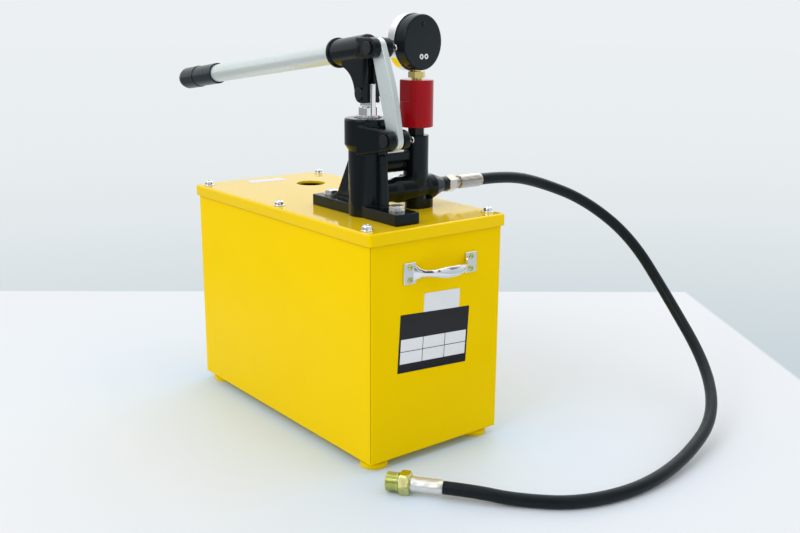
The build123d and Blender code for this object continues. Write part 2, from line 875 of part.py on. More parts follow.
def make_plunger():
    length = plunger_shoulder_rise - plunger_bottom_rise
    rod = chamfer(disc(plunger_radius, length).edges(), plunger_shoulder_chamfer)
    rod = Pos(pump_x, pump_y, lid_top + plunger_bottom_rise) * rod
    foot_rise = plunger_shoulder_rise - plunger_shoulder_chamfer
    tongue = Box(2 * plunger_radius, tongue_thickness, tongue_top_rise - foot_rise)
    tongue = fillet(tongue.edges().filter_by(Axis.Y).sort_by(Axis.Z)[-2:], tongue_edge_radius)
    tongue &= Cylinder(plunger_radius, tongue_top_rise - foot_rise)
    tongue = Pos(pump_x, pump_y, lid_top + (tongue_top_rise + foot_rise) / 2) * tongue
    plunger = rod + tongue
    hole = along_y(Cylinder(pin_radius + pin_clearance, tongue_thickness + 2 * cut))
    return plunger - Pos(pump_x, pump_y, plunger_pin_z) * hole


def linkage_pin(x, z, width, turn):
    """A headed pin along Y through pieces of this total width, with its split-pin hole."""
    near = pump_y - width / 2 - face_clearance
    length = width + 2 * face_clearance + pin_tail
    pin = along_y(disc(pin_radius, length))
    head = along_y(disc(pin_head_radius, pin_head_thickness))
    head = fillet(head.edges().sort_by(Axis.Y)[0], pin_head_thickness / 4)
    pin += Pos(0, -pin_head_thickness, 0) * head
    hole = Rot(0, turn, 0) * Cylinder(split_pin_radius + screw_hole_clearance, 2 * pin_radius + 2 * cut)
    pin -= Pos(0, length - split_pin_inset, 0) * hole
    return Pos(x, near, z) * pin


def split_pin(x, z, width, turn):
    """A split pin through the tail of a linkage pin, its eye upwards before the turn about Y."""
    near = pump_y - width / 2 - face_clearance
    y = near + width + 2 * face_clearance + pin_tail - split_pin_inset
    reach = pin_radius + split_pin_leg
    stem = Pos(0, 0, -reach) * disc(split_pin_radius, reach + pin_radius + split_pin_radius)
    eye = Rot(90, 0, 0) * Torus(split_pin_eye_radius - split_pin_radius, split_pin_radius)
    eye_z = pin_radius + split_pin_eye_radius
    return Pos(x, y, z) * Rot(0, turn, 0) * (stem + Pos(0, 0, eye_z) * eye)


def make_link():
    run_x = link_pin_x - ear_pin_x
    run_z = link_pin_z - ear_pin_z
    length = math.hypot(run_x, run_z)
    lower = Circle(link_eye_radius)
    upper = Pos(0, length) * Circle(link_eye_radius)
    near = (link_eye_radius, link_eye_radius)
    far = (link_eye_radius, length - link_eye_radius)
    bulge = ThreePointArc(near, (link_shank_width / 2 + link_bulge, length / 2), far)
    shank = make_hull([*lower.edges(), *upper.edges(), bulge])
    middle = Pos(0, length / 2) * Rectangle(link_shank_width, length)
    front = Pos(link_shank_width, length / 2) * Rectangle(2 * link_shank_width, 2 * length)
    face = lower + upper + (shank & (front + middle))
    back_x = -link_shank_width / 2
    corners = face.vertices().filter_by(lambda v: abs(v.X - back_x) < face_clearance)
    face = fillet(corners, link_eye_radius)
    face -= Circle(pin_radius + pin_clearance)
    face -= Pos(0, length) * Circle(pin_radius + open_pivot_play)
    link = extrude(face, link_thickness / 2, both=True)
    rims = link.faces().filter_by(Axis.Z).edges()
    link = chamfer(rims, link_edge_radius / 2)
    lean = math.degrees(math.atan2(run_x, run_z))
    return Pos(ear_pin_x, pump_y, ear_pin_z) * Rot(0, lean, 0) * Rot(90, 0, 0) * link


def cheek_face():
    """Side outline of the lever head below its socket, around the plunger's pin."""
    px = pump_x
    pz = plunger_pin_z
    left = (px - cheek_end_radius, pz)
    bottom = (px, pz - cheek_end_radius)
    low_arc = cheek_end_radius * math.sqrt(2) / 2
    front_bottom = (px + cheek_front_reach, pz - cheek_end_radius)
    front_top = (px + cheek_front_reach, lid_top + cheek_top_rise)
    shoulder = (px - cheek_shoulder_reach, lid_top + cheek_shoulder_rise)
    hollow = (px - cheek_hollow_reach, lid_top + cheek_hollow_rise)
    back_top = (px - cheek_shoulder_reach, lid_top + cheek_top_rise)
    sides = [
        ThreePointArc(left, (px - low_arc, pz - low_arc), bottom),
        Line(bottom, front_bottom),
        Line(front_bottom, front_top),
        Line(front_top, back_top),
        Line(back_top, shoulder),
        ThreePointArc(shoulder, hollow, left),
    ]
    return make_face(sides)


def socket_frame():
    """Location at the socket's mouth, with local +Z running along the tube to its grip."""
    place = Pos(pump_x - socket_mouth_reach, pump_y, lid_top + socket_mouth_rise)
    return place * Rot(0, -90 - handle_slope, 0)


def lever_nose():
    eye = Pos(link_pin_x, link_pin_z) * Circle(nose_radius)
    back_x = pump_x - nose_back_reach
    back = Line(
        (back_x, link_pin_z - nose_radius),
        (back_x, link_pin_z + nose_radius),
    )
    nose = slab_y(make_hull([*eye.edges(), back]), pump_y, nose_width)
    return fillet(nose.edges().filter_by(GeomType.CIRCLE), lever_edge_radius)


def make_lever_head():
    slope = math.cos(math.radians(handle_slope))
    socket_length = (socket_mouth_reach + socket_end_reach) / slope
    socket = Pos(0, 0, -socket_length) * disc(socket_radius, socket_length)
    socket = fillet(socket.edges().sort_by(Axis.Z)[0], 2 * lever_edge_radius)
    collar = Pos(0, 0, -socket_collar_length) * disc(socket_collar_radius, socket_collar_length)
    socket += fillet(collar.edges(), lever_edge_radius / 2)
    cheeks = slab_y(cheek_face(), pump_y, cheek_width)
    head = socket_frame() * socket + cheeks + lever_nose()
    bore = Pos(0, 0, -socket_bore_depth) * disc(tube_radius + tube_fit, socket_bore_depth + cut)
    head -= socket_frame() * bore
    slot_reach = nose_radius + link_pin_reach + cut - link_slot_back_reach
    slot_height = 2 * (nose_radius + cut) + socket_radius
    slot = Box(slot_reach, link_slot_width, slot_height)
    slot_x = pump_x + link_slot_back_reach + slot_reach / 2
    head -= Pos(slot_x, pump_y, link_pin_z) * slot
    tongue_slot = along_y(Cylinder(cheek_slot_radius, cheek_slot_width))
    head -= Pos(pump_x, pump_y, plunger_pin_z) * tongue_slot
    channel_height = link_pin_z - plunger_pin_z
    channel_reach = cheek_front_reach + cut
    channel = Box(channel_reach, cheek_slot_width, channel_height)
    head -= Pos(pump_x + channel_reach / 2, pump_y, plunger_pin_z + channel_height / 2) * channel
    bore_length = nose_width + 2 * cut
    pin_bore = along_y(Cylinder(pin_radius + pin_clearance, bore_length))
    head -= Pos(pump_x, pump_y, plunger_pin_z) * pin_bore
    head -= Pos(link_pin_x, pump_y, link_pin_z) * pin_bore
    screw_hole = Rot(0, 90, 0) * disc(set_screw_radius + face_clearance, socket_collar_radius + cut)
    head -= socket_frame() * Pos(0, 0, -set_screw_inset) * screw_hole
    return head


def make_set_screw():
    length = socket_radius - tube_radius - tube_fit - face_clearance
    screw = disc(set_screw_radius, length)
    screw -= Pos(0, 0, length - set_screw_radius) * hexagon(2 * set_screw_socket_radius, set_screw_radius + cut)
    seat = Pos(tube_radius + tube_fit + face_clearance, 0, -set_screw_inset)
    return socket_frame() * seat * Rot(0, 90, 0) * screw


def make_handle_tube():
    start = socket_bore_depth - face_clearance
    tube = Pos(0, 0, -start) * disc(tube_radius, tube_length)
    tube -= Pos(0, 0, -start - cut) * disc(tube_radius - tube_wall, tube_length + 2 * cut)
    return socket_frame() * tube


def make_handle_grip():
    end = tube_length - socket_bore_depth + grip_nose_length
    start = end - grip_length
    step = end - grip_end_length
    profile = [
        (tube_radius + tube_fit, start),
        (grip_radius - grip_lip_radius, start),
        (grip_radius, start + grip_lip_radius),
        (grip_radius, step),
        (grip_end_radius, step + grip_lip_radius),
        (grip_end_radius, end - grip_dome_radius),
        (grip_end_radius * grip_dome_shoulder_share, end - grip_dome_radius * grip_dome_rise_share),
        (grip_end_radius * grip_dome_crown_share, end),
        (0, end),
        (0, end - grip_nose_length + tube_fit),
        (tube_radius + tube_fit, end - grip_nose_length + tube_fit),
    ]
    return socket_frame() * turned(profile)


def make_suction_connector():
    seat_top = lid_top - spigot_length + (spigot_length + suction_bore_top_rise) * suction_seat_share
    flange_top = lid_top - spigot_length - face_clearance
    thread = disc(suction_bore_radius - face_clearance, seat_top - flange_top)
    connector = Pos(0, 0, flange_top) * thread
    flange_bottom = flange_top - connector_flange_height
    connector += Pos(0, 0, flange_bottom) * hexagon(connector_flange_flats, connector_flange_height)
    spigot_bottom = flange_bottom - connector_spigot_length
    connector += Pos(0, 0, spigot_bottom) * disc(connector_spigot_radius, connector_spigot_length)
    bore = disc(connector_bore_radius, seat_top - spigot_bottom + 2 * cut)
    connector -= Pos(0, 0, spigot_bottom - cut) * bore
    return Pos(pump_x, pump_y, 0) * connector


def make_suction_ball():
    seat_top = lid_top - spigot_length + (spigot_length + suction_bore_top_rise) * suction_seat_share
    height = math.sqrt(suction_ball_radius**2 - connector_bore_radius**2)
    return Pos(pump_x, pump_y, seat_top + height + ball_gap) * Sphere(suction_ball_radius)


def make_suction_pipe():
    top = lid_top - spigot_length - connector_flange_height - 2 * face_clearance
    bottom = lid_top + pipe_bottom_rise
    inner = connector_spigot_radius + face_clearance
    pipe = disc(inner + pipe_wall, top - bottom)
    pipe -= Pos(0, 0, -cut) * disc(inner, top - bottom + 2 * cut)
    return Pos(pump_x, pump_y, bottom) * pipe


def make_suction_strainer():
    inner = connector_spigot_radius + face_clearance + pipe_wall + face_clearance
    bottom = lid_top + pipe_bottom_rise - strainer_height + strainer_wall
    cage = turned(
        [
            (0, 0),
            (strainer_radius, 0),
            (strainer_radius, strainer_height),
            (inner, strainer_height),
            (inner, strainer_height - strainer_wall * 2),
            (strainer_radius - strainer_wall, strainer_height - strainer_wall * 3),
            (strainer_radius - strainer_wall, strainer_wall),
            (0, strainer_wall),
        ]
    )
    slot = Box(strainer_wall * 3, strainer_slot_width, strainer_height * strainer_slot_share)
    for index in range(strainer_slot_count):
        turn = 360 / strainer_slot_count * index
        place = Rot(0, 0, turn) * Pos(strainer_radius, 0, strainer_height * strainer_slot_rise_share)
        cage -= place * slot
    return Pos(pump_x, pump_y, bottom) * cage


delivery_ball_y = delivery_seat_y + math.sqrt(delivery_ball_radius**2 - cross_port_radius**2) + ball_gap
spring_start_y = delivery_ball_y + delivery_ball_radius + ball_gap
spring_end_y = barrel_end_y - nipple_inner_length - ball_gap


def make_delivery_ball():
    return Pos(pump_x, delivery_ball_y, barrel_z) * Sphere(delivery_ball_radius)


def make_delivery_spring():
    length = spring_end_y - spring_start_y - spring_wire
    coil = Helix(pitch=length / spring_turns, height=length, radius=spring_mean_radius)
    section = Plane(origin=coil @ 0, z_dir=coil % 0) * Rectangle(spring_wire, spring_wire)
    spring = sweep(section, path=coil, is_frenet=True)
    return Pos(pump_x, spring_start_y + spring_wire / 2, barrel_z) * along_y(spring)


def make_outlet_nipple():
    inner_end = barrel_end_y - nipple_inner_length
    collar_start = barrel_end_y + face_clearance
    collar_end = collar_start + nipple_collar_length
    profile = [
        (nipple_bore_radius, inner_end),
        (delivery_bore_radius - face_clearance, inner_end),
        (delivery_bore_radius - face_clearance, collar_start),
        (nipple_collar_radius, collar_start),
        (nipple_collar_radius, collar_end),
        (nipple_cone_radius, collar_end),
        (nipple_cone_radius, collar_end + nipple_cone_length - cut),
        (nipple_bore_radius + cut / 2, collar_end + nipple_cone_length),
        (nipple_bore_radius, collar_end + nipple_cone_length),
    ]
    return Pos(pump_x, 0, barrel_z) * along_y(turned(profile))


def make_release_gland():
    height = release_gland_height
    nut = hexagon(release_gland_flats, height)
    nut += Pos(0, 0, -height) * disc(release_thread_radius - face_clearance, height)
    nut -= Pos(0, 0, -height - cut) * disc(release_spindle_radius + face_clearance, 2 * (height + cut))
    place = Pos(pump_x - release_boss_reach - face_clearance, valve_y, release_z)
    return place * along_minus_x(nut)


release_tip_reach = delivery_bore_radius + 2 * release_port_radius + ball_gap


def make_release_spindle():
    length = release_spindle_reach - release_tip_reach
    tip = release_port_radius
    profile = [
        (0, 0),
        (tip, tip),
        (release_spindle_radius, tip),
        (release_spindle_radius, length - release_head_length),
        (release_head_radius, length - release_head_length),
        (release_head_radius, length),
        (0, length),
    ]
    spindle = turned(profile)
    bar_hole = along_y(Cylinder(release_bar_radius + face_clearance, 2 * (release_head_radius + cut)))
    spindle -= Pos(0, 0, length - release_head_length / 2) * Rot(0, 0, release_bar_tilt) * bar_hole
    return Pos(pump_x - release_tip_reach, valve_y, release_z) * along_minus_x(spindle)


def make_release_bar():
    bar = along_y(Cylinder(release_bar_radius, release_bar_length))
    bar = fillet(bar.edges(), release_bar_radius / 2)
    x = pump_x - release_spindle_reach + release_head_length / 2
    return Pos(x, valve_y, release_z) * along_minus_x(Rot(0, 0, release_bar_tilt) * bar)


def make_damper_nipple():
    top = lid_top + damper_bottom_rise - face_clearance
    middle = lid_top + gauge_column_top_rise + face_clearance
    nipple = Pos(0, 0, middle) * Rot(0, 0, nipple_turn) * hexagon(nipple_flats, top - middle)
    thread_radius = gauge_thread_radius - face_clearance
    bottom = middle - gauge_thread_depth + face_clearance
    nipple += Pos(0, 0, bottom) * disc(thread_radius, top - bottom + gauge_thread_depth)
    length = top + gauge_thread_depth - bottom
    nipple -= Pos(0, 0, bottom - cut) * disc(gauge_port_radius, length + 2 * cut)
    return Pos(pump_x, valve_y, 0) * nipple


def make_pressure_damper():
    height = damper_top_rise - damper_bottom_rise
    body = fillet(disc(damper_radius, height).edges(), damper_edge_radius)
    flat = Box(2 * damper_radius, 2 * damper_flat_depth, damper_flat_height)
    flat_z = height - damper_flat_height / 2
    for side in (-1, 1):
        body -= Pos(0, side * damper_radius, flat_z) * flat
    socket = disc(gauge_thread_radius, gauge_thread_depth + cut)
    body -= Pos(0, 0, -cut) * socket
    stem_socket = disc(stem_radius + face_clearance, stem_thread_depth + cut)
    body -= Pos(0, 0, height - stem_thread_depth) * stem_socket
    body -= disc(damper_bore_radius, height)
    return Pos(pump_x, valve_y, lid_top + damper_bottom_rise) * body


def gauge_frame():
    """Location at the gauge's centre, with local +Z through the dial and local +Y up."""
    place = Pos(pump_x, valve_y, gauge_z)
    return place * Rot(0, 0, gauge_turn) * Rot(90, 0, 0) * Rot(0, -90, 0)


def make_gauge_stem():
    """Brass gauge connection: lower thread, hexagon, neck through the case, and block inside."""
    thread_bottom = damper_top_rise - stem_thread_depth + face_clearance
    block_top = gauge_rise - bourdon_radius - bourdon_tube_radius - face_clearance
    case_drop = math.sqrt((case_radius - case_wall) ** 2 - (block_width / 2) ** 2)
    block_bottom = gauge_rise - case_drop + face_clearance
    stem = Pos(0, 0, thread_bottom) * disc(stem_radius, stem_hex_bottom_rise - thread_bottom)
    stem += Pos(0, 0, stem_hex_bottom_rise) * hexagon(stem_hex_flats, stem_hex_height)
    stem += Pos(0, 0, stem_hex_bottom_rise) * disc(stem_neck_radius, block_top - stem_hex_bottom_rise)
    block = Box(block_depth, block_width, block_top - block_bottom)
    stem += Pos(0, 0, (block_top + block_bottom) / 2) * block
    bore = disc(connector_bore_radius / 2, gauge_rise - case_radius - thread_bottom)
    stem -= Pos(0, 0, thread_bottom - cut) * bore
    return Pos(pump_x, valve_y, lid_top) * Rot(0, 0, gauge_turn) * stem


def make_gauge_case():
    depth = case_back_depth + case_front_depth
    shell = fillet(disc(case_radius, depth).edges().sort_by(Axis.Z)[0], case_edge_radius)
    shell -= Pos(0, 0, case_wall) * disc(case_radius - case_wall, depth)
    case = Pos(0, 0, -case_back_depth) * shell
    case -= Rot(90, 0, 0) * disc(stem_neck_radius + face_clearance, case_radius + cut)
    for side in (-1, 1):
        hole = Cylinder(case_screw_radius + face_clearance, 4 * case_wall)
        case -= Pos(side * case_screw_spacing / 2, -case_screw_drop, -case_back_depth) * hole
    vent = Cylinder(vent_plug_radius - face_clearance, 4 * case_wall)
    case -= Pos(0, vent_plug_climb, -case_back_depth) * vent
    return gauge_frame() * case


def make_gauge_bezel():
    inner = case_radius + face_clearance
    opening = bezel_radius - bezel_lip
    bezel = turned(
        [
            (inner, bezel_back_depth),
            (bezel_radius, bezel_back_depth),
            (bezel_radius, bezel_front_depth - bezel_edge_radius),
            (bezel_radius - bezel_edge_radius, bezel_front_depth),
            (opening, bezel_front_depth),
            (opening, bezel_front_depth - bezel_lip_thickness),
            (inner, bezel_front_depth - bezel_lip_thickness),
        ]
    )
    return gauge_frame() * bezel


def make_gauge_glass():
    top = bezel_front_depth - bezel_lip_thickness - face_clearance
    glass = Pos(0, 0, top - glass_thickness) * disc(case_radius - face_clearance, glass_thickness)
    return gauge_frame() * glass


def make_gauge_dial():
    dial = disc(case_radius - case_wall - face_clearance, dial_thickness)
    dial -= Pos(0, 0, -cut) * disc(pivot_radius + face_clearance, dial_thickness + 2 * cut)
    return gauge_frame() * Pos(0, 0, dial_depth) * dial


def make_gauge_pointer():
    blade = make_face(
        Polyline(
            (-pointer_root_width / 2, -pointer_tail),
            (pointer_root_width / 2, -pointer_tail),
            (pointer_root_width / 2, 0),
            (pointer_tip_width / 2, pointer_length),
            (-pointer_tip_width / 2, pointer_length),
            (-pointer_root_width / 2, 0),
            close=True,
        )
    )
    pointer = extrude(blade, pointer_thickness) + disc(pointer_hub_radius, 2 * pointer_thickness)
    pivot_length = pointer_depth - bourdon_depth - bourdon_tube_radius
    pointer += Pos(0, 0, -pivot_length) * disc(pivot_radius, pivot_length)
    return gauge_frame() * Pos(0, 0, pointer_depth) * Rot(0, 0, pointer_zero_angle) * pointer


def make_gauge_movement():
    """Curved pressure tube, the plate that carries the pointer's pivot, and the dial's posts."""
    curve = CenterArc((0, 0), bourdon_radius, bourdon_start_angle, -bourdon_sweep)
    section = Plane(origin=curve @ 0, z_dir=curve % 0) * Circle(bourdon_tube_radius)
    movement = Pos(0, 0, bourdon_depth) * sweep(section, path=curve)
    plate_z = bourdon_depth + bourdon_tube_radius
    movement += Pos(0, 0, plate_z) * Box(block_width, 2 * bourdon_radius, case_wall)
    post_length = dial_depth - face_clearance - plate_z
    for side in (-1, 1):
        post = disc(dial_post_radius, post_length)
        movement += Pos(0, side * dial_post_offset, plate_z) * post
    movement -= Cylinder(pivot_radius + face_clearance, 4 * case_back_depth)
    return gauge_frame() * movement


def make_case_screws():
    screw = Pos(0, 0, -case_screw_head_height) * disc(case_screw_head_radius, case_screw_head_height)
    slot = Box(2 * case_screw_head_radius, case_screw_radius / 2, case_screw_radius / 2)
    screw -= Pos(0, 0, -case_screw_head_height) * Rot(0, 0, handle_slope) * slot
    screw += disc(case_screw_radius, 2 * case_wall)
    back = -case_back_depth - face_clearance
    return [
        gauge_frame() * Pos(side * case_screw_spacing / 2, -case_screw_drop, back) * screw
        for side in (-1, 1)
    ]


def make_vent_plug():
    plug = Pos(0, 0, -vent_plug_height) * disc(vent_plug_radius, vent_plug_height)
    plug += disc(vent_plug_radius - 2 * face_clearance, case_wall)
    place = Pos(0, vent_plug_climb, -case_back_depth - face_clearance)
    return gauge_frame() * place * plug


def ferrule(mouth_radius):
    """Crimped ferrule from local Z = 0 at the fitting to its mouth, where the hose leaves."""
    body = turned(
        [
            (0, 0),
            (ferrule_radius, 0),
            (ferrule_radius, ferrule_length * ferrule_body_share),
            (mouth_radius, ferrule_length),
            (0, ferrule_length),
        ]
    )
    groove = disc(ferrule_radius + cut, ferrule_groove_width)
    groove -= disc(ferrule_radius - ferrule_groove_depth, ferrule_groove_width)
    pitch = ferrule_length * ferrule_body_share / (ferrule_groove_count + 1)
    for index in range(ferrule_groove_count):
        middle = pitch * (index + 1)
        body -= Pos(0, 0, middle - ferrule_groove_width / 2) * groove
    return body


swivel_start_y = barrel_end_y + nipple_collar_length + 2 * face_clearance
swivel_end_y = swivel_start_y + nipple_cone_length + swivel_gap


def make_hose_nut():
    nut = hexagon(swivel_flats, swivel_length)
    nut -= Pos(0, 0, -cut) * disc(nipple_cone_radius + face_clearance, swivel_length + 2 * cut)
    return Pos(pump_x, swivel_start_y, barrel_z) * along_y(Rot(0, 0, 30) * nut)


def make_hose_ferrule():
    neck_start = swivel_start_y + nipple_cone_length - face_clearance
    mouth_y = route[0][1]
    start = mouth_y - ferrule_length
    neck = disc(nipple_cone_radius - face_clearance, start - neck_start)
    body = Pos(0, 0, start - neck_start) * ferrule(ferrule_end_radius) + neck
    return Pos(pump_x, neck_start, barrel_z) * along_y(body)


def route_path():
    points = [Vector(*point) for point in route]
    radii = []
    for before, here, after in zip(points, points[1:], points[2:]):
        run_in = here - before
        run_out = after - here
        turn = math.radians(run_in.get_angle(run_out))
        shorter = min(run_in.length, run_out.length)
        radii.append(radius_share * shorter / math.tan(turn / 2))
    print("hose radii", [round(radius) for radius in radii])
    return FilletPolyline(*points, radius=radii)


def make_hose():
    path = route_path()
    section = Plane(origin=path @ 0, z_dir=path % 0) * Circle(hose_radius)
    hose = sweep(section, path=path)
    area = math.pi * hose_radius**2
    print("hose length", round(path.length, 1), "volume share", round(hose.volume / (area * path.length), 4))
    return hose


def end_plane():
    last = Vector(*route[-1])
    before = Vector(*route[-2])
    run = (last - before).normalized()
    return Plane(origin=last, x_dir=Vector(-run.Y, run.X, 0), z_dir=run)


def make_end_ferrule():
    body = Pos(0, 0, ferrule_length) * Rot(180, 0, 0) * ferrule(ferrule_end_radius)
    return end_plane() * body


def make_end_fitting():
    hex_start = ferrule_length
    hexagonal = Pos(0, 0, hex_start) * hexagon(end_hex_flats, end_hex_length)
    thread = disc(end_thread_radius, end_thread_length)
    thread = chamfer(thread.edges().sort_by(Axis.Z)[-1], end_thread_chamfer)
    fitting = hexagonal + Pos(0, 0, hex_start + end_hex_length) * thread
    bore = disc(end_bore_radius, end_hex_length + end_thread_length + cut)
    fitting -= Pos(0, 0, hex_start + cut) * bore
    return end_plane() * fitting


pieces = {
    "tank_shell": make_tank_shell(),
    "tank_lid": make_tank_lid(),
    "tank_feet": make_tank_feet(),
    "lid_screws": make_lid_screws(),
    "carry_handle_front": make_bow_handle(1),
    "carry_handle_back": make_bow_handle(-1),
    "handle_screws": make_handle_screws(),
    "pump_casting": make_pump_casting(),
    "base_bolts": make_base_bolts(),
    "base_washers": make_base_washers(),
    "base_nuts": make_base_nuts(),
    "gland_nut": make_gland_nut(),
    "plunger_packing": make_plunger_packing(),
    "plunger": make_plunger(),
    "plunger_pin": linkage_pin(pump_x, plunger_pin_z, cheek_width, 0),
    "plunger_split_pin": split_pin(pump_x, plunger_pin_z, cheek_width, 180),
    "link_pin": linkage_pin(link_pin_x, link_pin_z, nose_width, 90),
    "link_split_pin": split_pin(link_pin_x, link_pin_z, nose_width, 90),
    "ear_pin": linkage_pin(ear_pin_x, ear_pin_z, ear_width, 90),
    "ear_split_pin": split_pin(ear_pin_x, ear_pin_z, ear_width, 90),
    "link": make_link(),
    "lever_head": make_lever_head(),
    "socket_set_screw": make_set_screw(),
    "handle_tube": make_handle_tube(),
    "handle_grip": make_handle_grip(),
    "suction_connector": make_suction_connector(),
    "suction_ball": make_suction_ball(),
    "suction_pipe": make_suction_pipe(),
    "suction_strainer": make_suction_strainer(),
    "delivery_ball": make_delivery_ball(),
    "delivery_spring": make_delivery_spring(),
    "outlet_nipple": make_outlet_nipple(),
    "release_gland": make_release_gland(),
    "release_spindle": make_release_spindle(),
    "release_bar": make_release_bar(),
    "damper_nipple": make_damper_nipple(),
    "pressure_damper": make_pressure_damper(),
    "gauge_stem": make_gauge_stem(),
    "gauge_case": make_gauge_case(),
    "gauge_bezel": make_gauge_bezel(),
    "gauge_glass": make_gauge_glass(),
    "gauge_dial": make_gauge_dial(),
    "gauge_pointer": make_gauge_pointer(),
    "gauge_movement": make_gauge_movement(),
    "gauge_case_screws": make_case_screws(),
    "gauge_vent_plug": make_vent_plug(),
    "hose_nut": make_hose_nut(),
    "hose_ferrule": make_hose_ferrule(),
    "hose": make_hose(),
    "end_ferrule": make_end_ferrule(),
    "end_fitting": make_end_fitting(),
}

for name, piece in pieces.items():
    solids = [solid for one in piece for solid in one.solids()] if isinstance(piece, list) else piece.solids()
    export_step(Compound(children=list(solids)), f"parts/{name}.step")
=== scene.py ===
import json
import math

import bpy
from mathutils import Matrix, Vector


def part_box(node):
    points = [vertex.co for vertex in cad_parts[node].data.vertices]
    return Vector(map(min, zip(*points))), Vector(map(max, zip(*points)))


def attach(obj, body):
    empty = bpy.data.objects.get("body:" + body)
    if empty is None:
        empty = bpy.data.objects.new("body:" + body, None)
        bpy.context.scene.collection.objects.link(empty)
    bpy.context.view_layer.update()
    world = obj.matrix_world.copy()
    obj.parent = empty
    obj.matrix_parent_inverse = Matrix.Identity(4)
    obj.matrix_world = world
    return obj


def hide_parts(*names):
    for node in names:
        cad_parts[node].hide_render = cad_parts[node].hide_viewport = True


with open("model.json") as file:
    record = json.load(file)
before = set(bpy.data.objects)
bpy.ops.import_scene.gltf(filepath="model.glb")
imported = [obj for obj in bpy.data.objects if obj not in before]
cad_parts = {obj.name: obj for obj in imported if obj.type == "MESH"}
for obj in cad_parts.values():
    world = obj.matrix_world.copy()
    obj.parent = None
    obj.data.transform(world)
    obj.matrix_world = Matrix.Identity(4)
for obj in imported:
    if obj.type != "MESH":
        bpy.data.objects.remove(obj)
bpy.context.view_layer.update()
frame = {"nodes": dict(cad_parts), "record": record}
nodes = frame["nodes"]
scene = bpy.context.scene
MM = 0.001
FULL_TURN, QUARTER = 2.0 * math.pi, math.pi / 2.0
AXES = ((1, 0, 0), (0, 1, 0), (0, 0, 1))
ALONG, ACROSS, UP = AXES


# Places taken from the model, in millimetres
def box(node):
    low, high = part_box(node)
    return low / MM, high / MM


def middle(node):
    low, high = box(node)
    return (low + high) / 2.0


def span(node):
    low, high = box(node)
    return high - low


TANK_X = middle("tank_shell").x
TANK_LENGTH, TANK_WIDTH = span("tank_shell").xy
TANK_END = TANK_X + TANK_LENGTH / 2
LID_LENGTH, LID_WIDTH = span("tank_lid").xy
LID_TOP = box("tank_lid")[1].z
PUMP = middle("gland_nut")
BARREL_Z = middle("hose_ferrule").z
GAUGE_MIDDLE = Vector((PUMP.x, middle("pressure_damper").y, middle("gauge_case").z))
GAUGE_TURN = math.radians(8.0)
HANDLE_MIDDLE = middle("carry_handle_front")


# Camera, solved from the tank's edges in the photograph
AZIMUTH, ELEVATION, ROLL = math.radians(51.751), math.radians(14.333), math.radians(0.379)
FOCAL_PIXELS, IMAGE_WIDTH, SENSOR = 993.82, 800, 36.0
CAMERA_PLACE = Vector((TANK_X + 950.6, -657.8, LID_TOP + 211.7)) * MM
LEVEL_RIGHT = Vector((math.cos(AZIMUTH), math.sin(AZIMUTH), 0.0))


def make_camera():
    back = Vector((math.sin(AZIMUTH) * math.cos(ELEVATION),
                   -math.cos(AZIMUTH) * math.cos(ELEVATION), math.sin(ELEVATION)))
    upward = back.cross(LEVEL_RIGHT)
    right = LEVEL_RIGHT * math.cos(ROLL) + upward * math.sin(ROLL)
    top = upward * math.cos(ROLL) - LEVEL_RIGHT * math.sin(ROLL)
    data = bpy.data.cameras.new("camera")
    data.sensor_width = SENSOR
    data.lens = FOCAL_PIXELS * SENSOR / IMAGE_WIDTH
    data.clip_start, data.clip_end = 0.02, 60.0
    camera = bpy.data.objects.new("camera", data)
    turn = Matrix((right, top, back)).transposed().to_4x4()
    camera.matrix_world = Matrix.Translation(CAMERA_PLACE) @ turn
    scene.collection.objects.link(camera)
    scene.camera = camera


# Node tools
class Nodes:
    """Short calls for the nodes of one material or world."""

    def __init__(self, owner):
        owner.use_nodes = True
        self.tree = owner.node_tree
        self.tree.nodes.clear()

    def add(self, kind, **settings):
        node = self.tree.nodes.new(kind)
        for key, value in settings.items():
            setattr(node, key, value)
        return node

    def link(self, source, target):
        self.tree.links.new(source, target)

    def feed(self, socket, value):
        if hasattr(value, "node"):
            self.link(value, socket)
        else:
            socket.default_value = value

    def math(self, operation, first, second=0.0):
        node = self.add("ShaderNodeMath", operation=operation)
        self.feed(node.inputs[0], first)
        self.feed(node.inputs[1], second)
        return node.outputs[0]

    def most(self, first, *others):
        for other in others:
            first = self.math("MAXIMUM", first, other)
        return first

    def length(self, first, second):
        """Length of a level step from its two parts."""
        squares = [self.math("MULTIPLY", part, part) for part in (first, second)]
        return self.math("SQRT", self.math("ADD", *squares))

    def dot(self, vector, direction):
        node = self.add("ShaderNodeVectorMath", operation="DOT_PRODUCT")
        self.link(vector, node.inputs[0])
        self.feed(node.inputs[1], direction)
        return node.outputs["Value"]

    def map(self, value, low, high, to_low=0.0, to_high=1.0):
        node = self.add("ShaderNodeMapRange")
        self.link(value, node.inputs["Value"])
        for key, number in zip(("From Min", "From Max", "To Min", "To Max"), (low, high, to_low, to_high)):
            node.inputs[key].default_value = number
        return node.outputs[0]

    def ramp(self, value, stops):
        node = self.add("ShaderNodeValToRGB")
        self.link(value, node.inputs[0])
        elements = node.color_ramp.elements
        while len(elements) < len(stops):
            elements.new(0.5)
        for element, (position, colour) in zip(elements, stops):
            element.position = position
            element.color = colour
        return node.outputs[0]

    def glow(self, kind, colour, strength=1.0):
        node = self.add(kind)
        self.feed(node.inputs["Color"], colour)
        self.feed(node.inputs["Strength"], strength)
        return node.outputs[0]

    def mix_shader(self, factor, first, second):
        node = self.add("ShaderNodeMixShader")
        for socket, value in zip(node.inputs, (factor, first, second)):
            self.link(value, socket)
        return node.outputs[0]


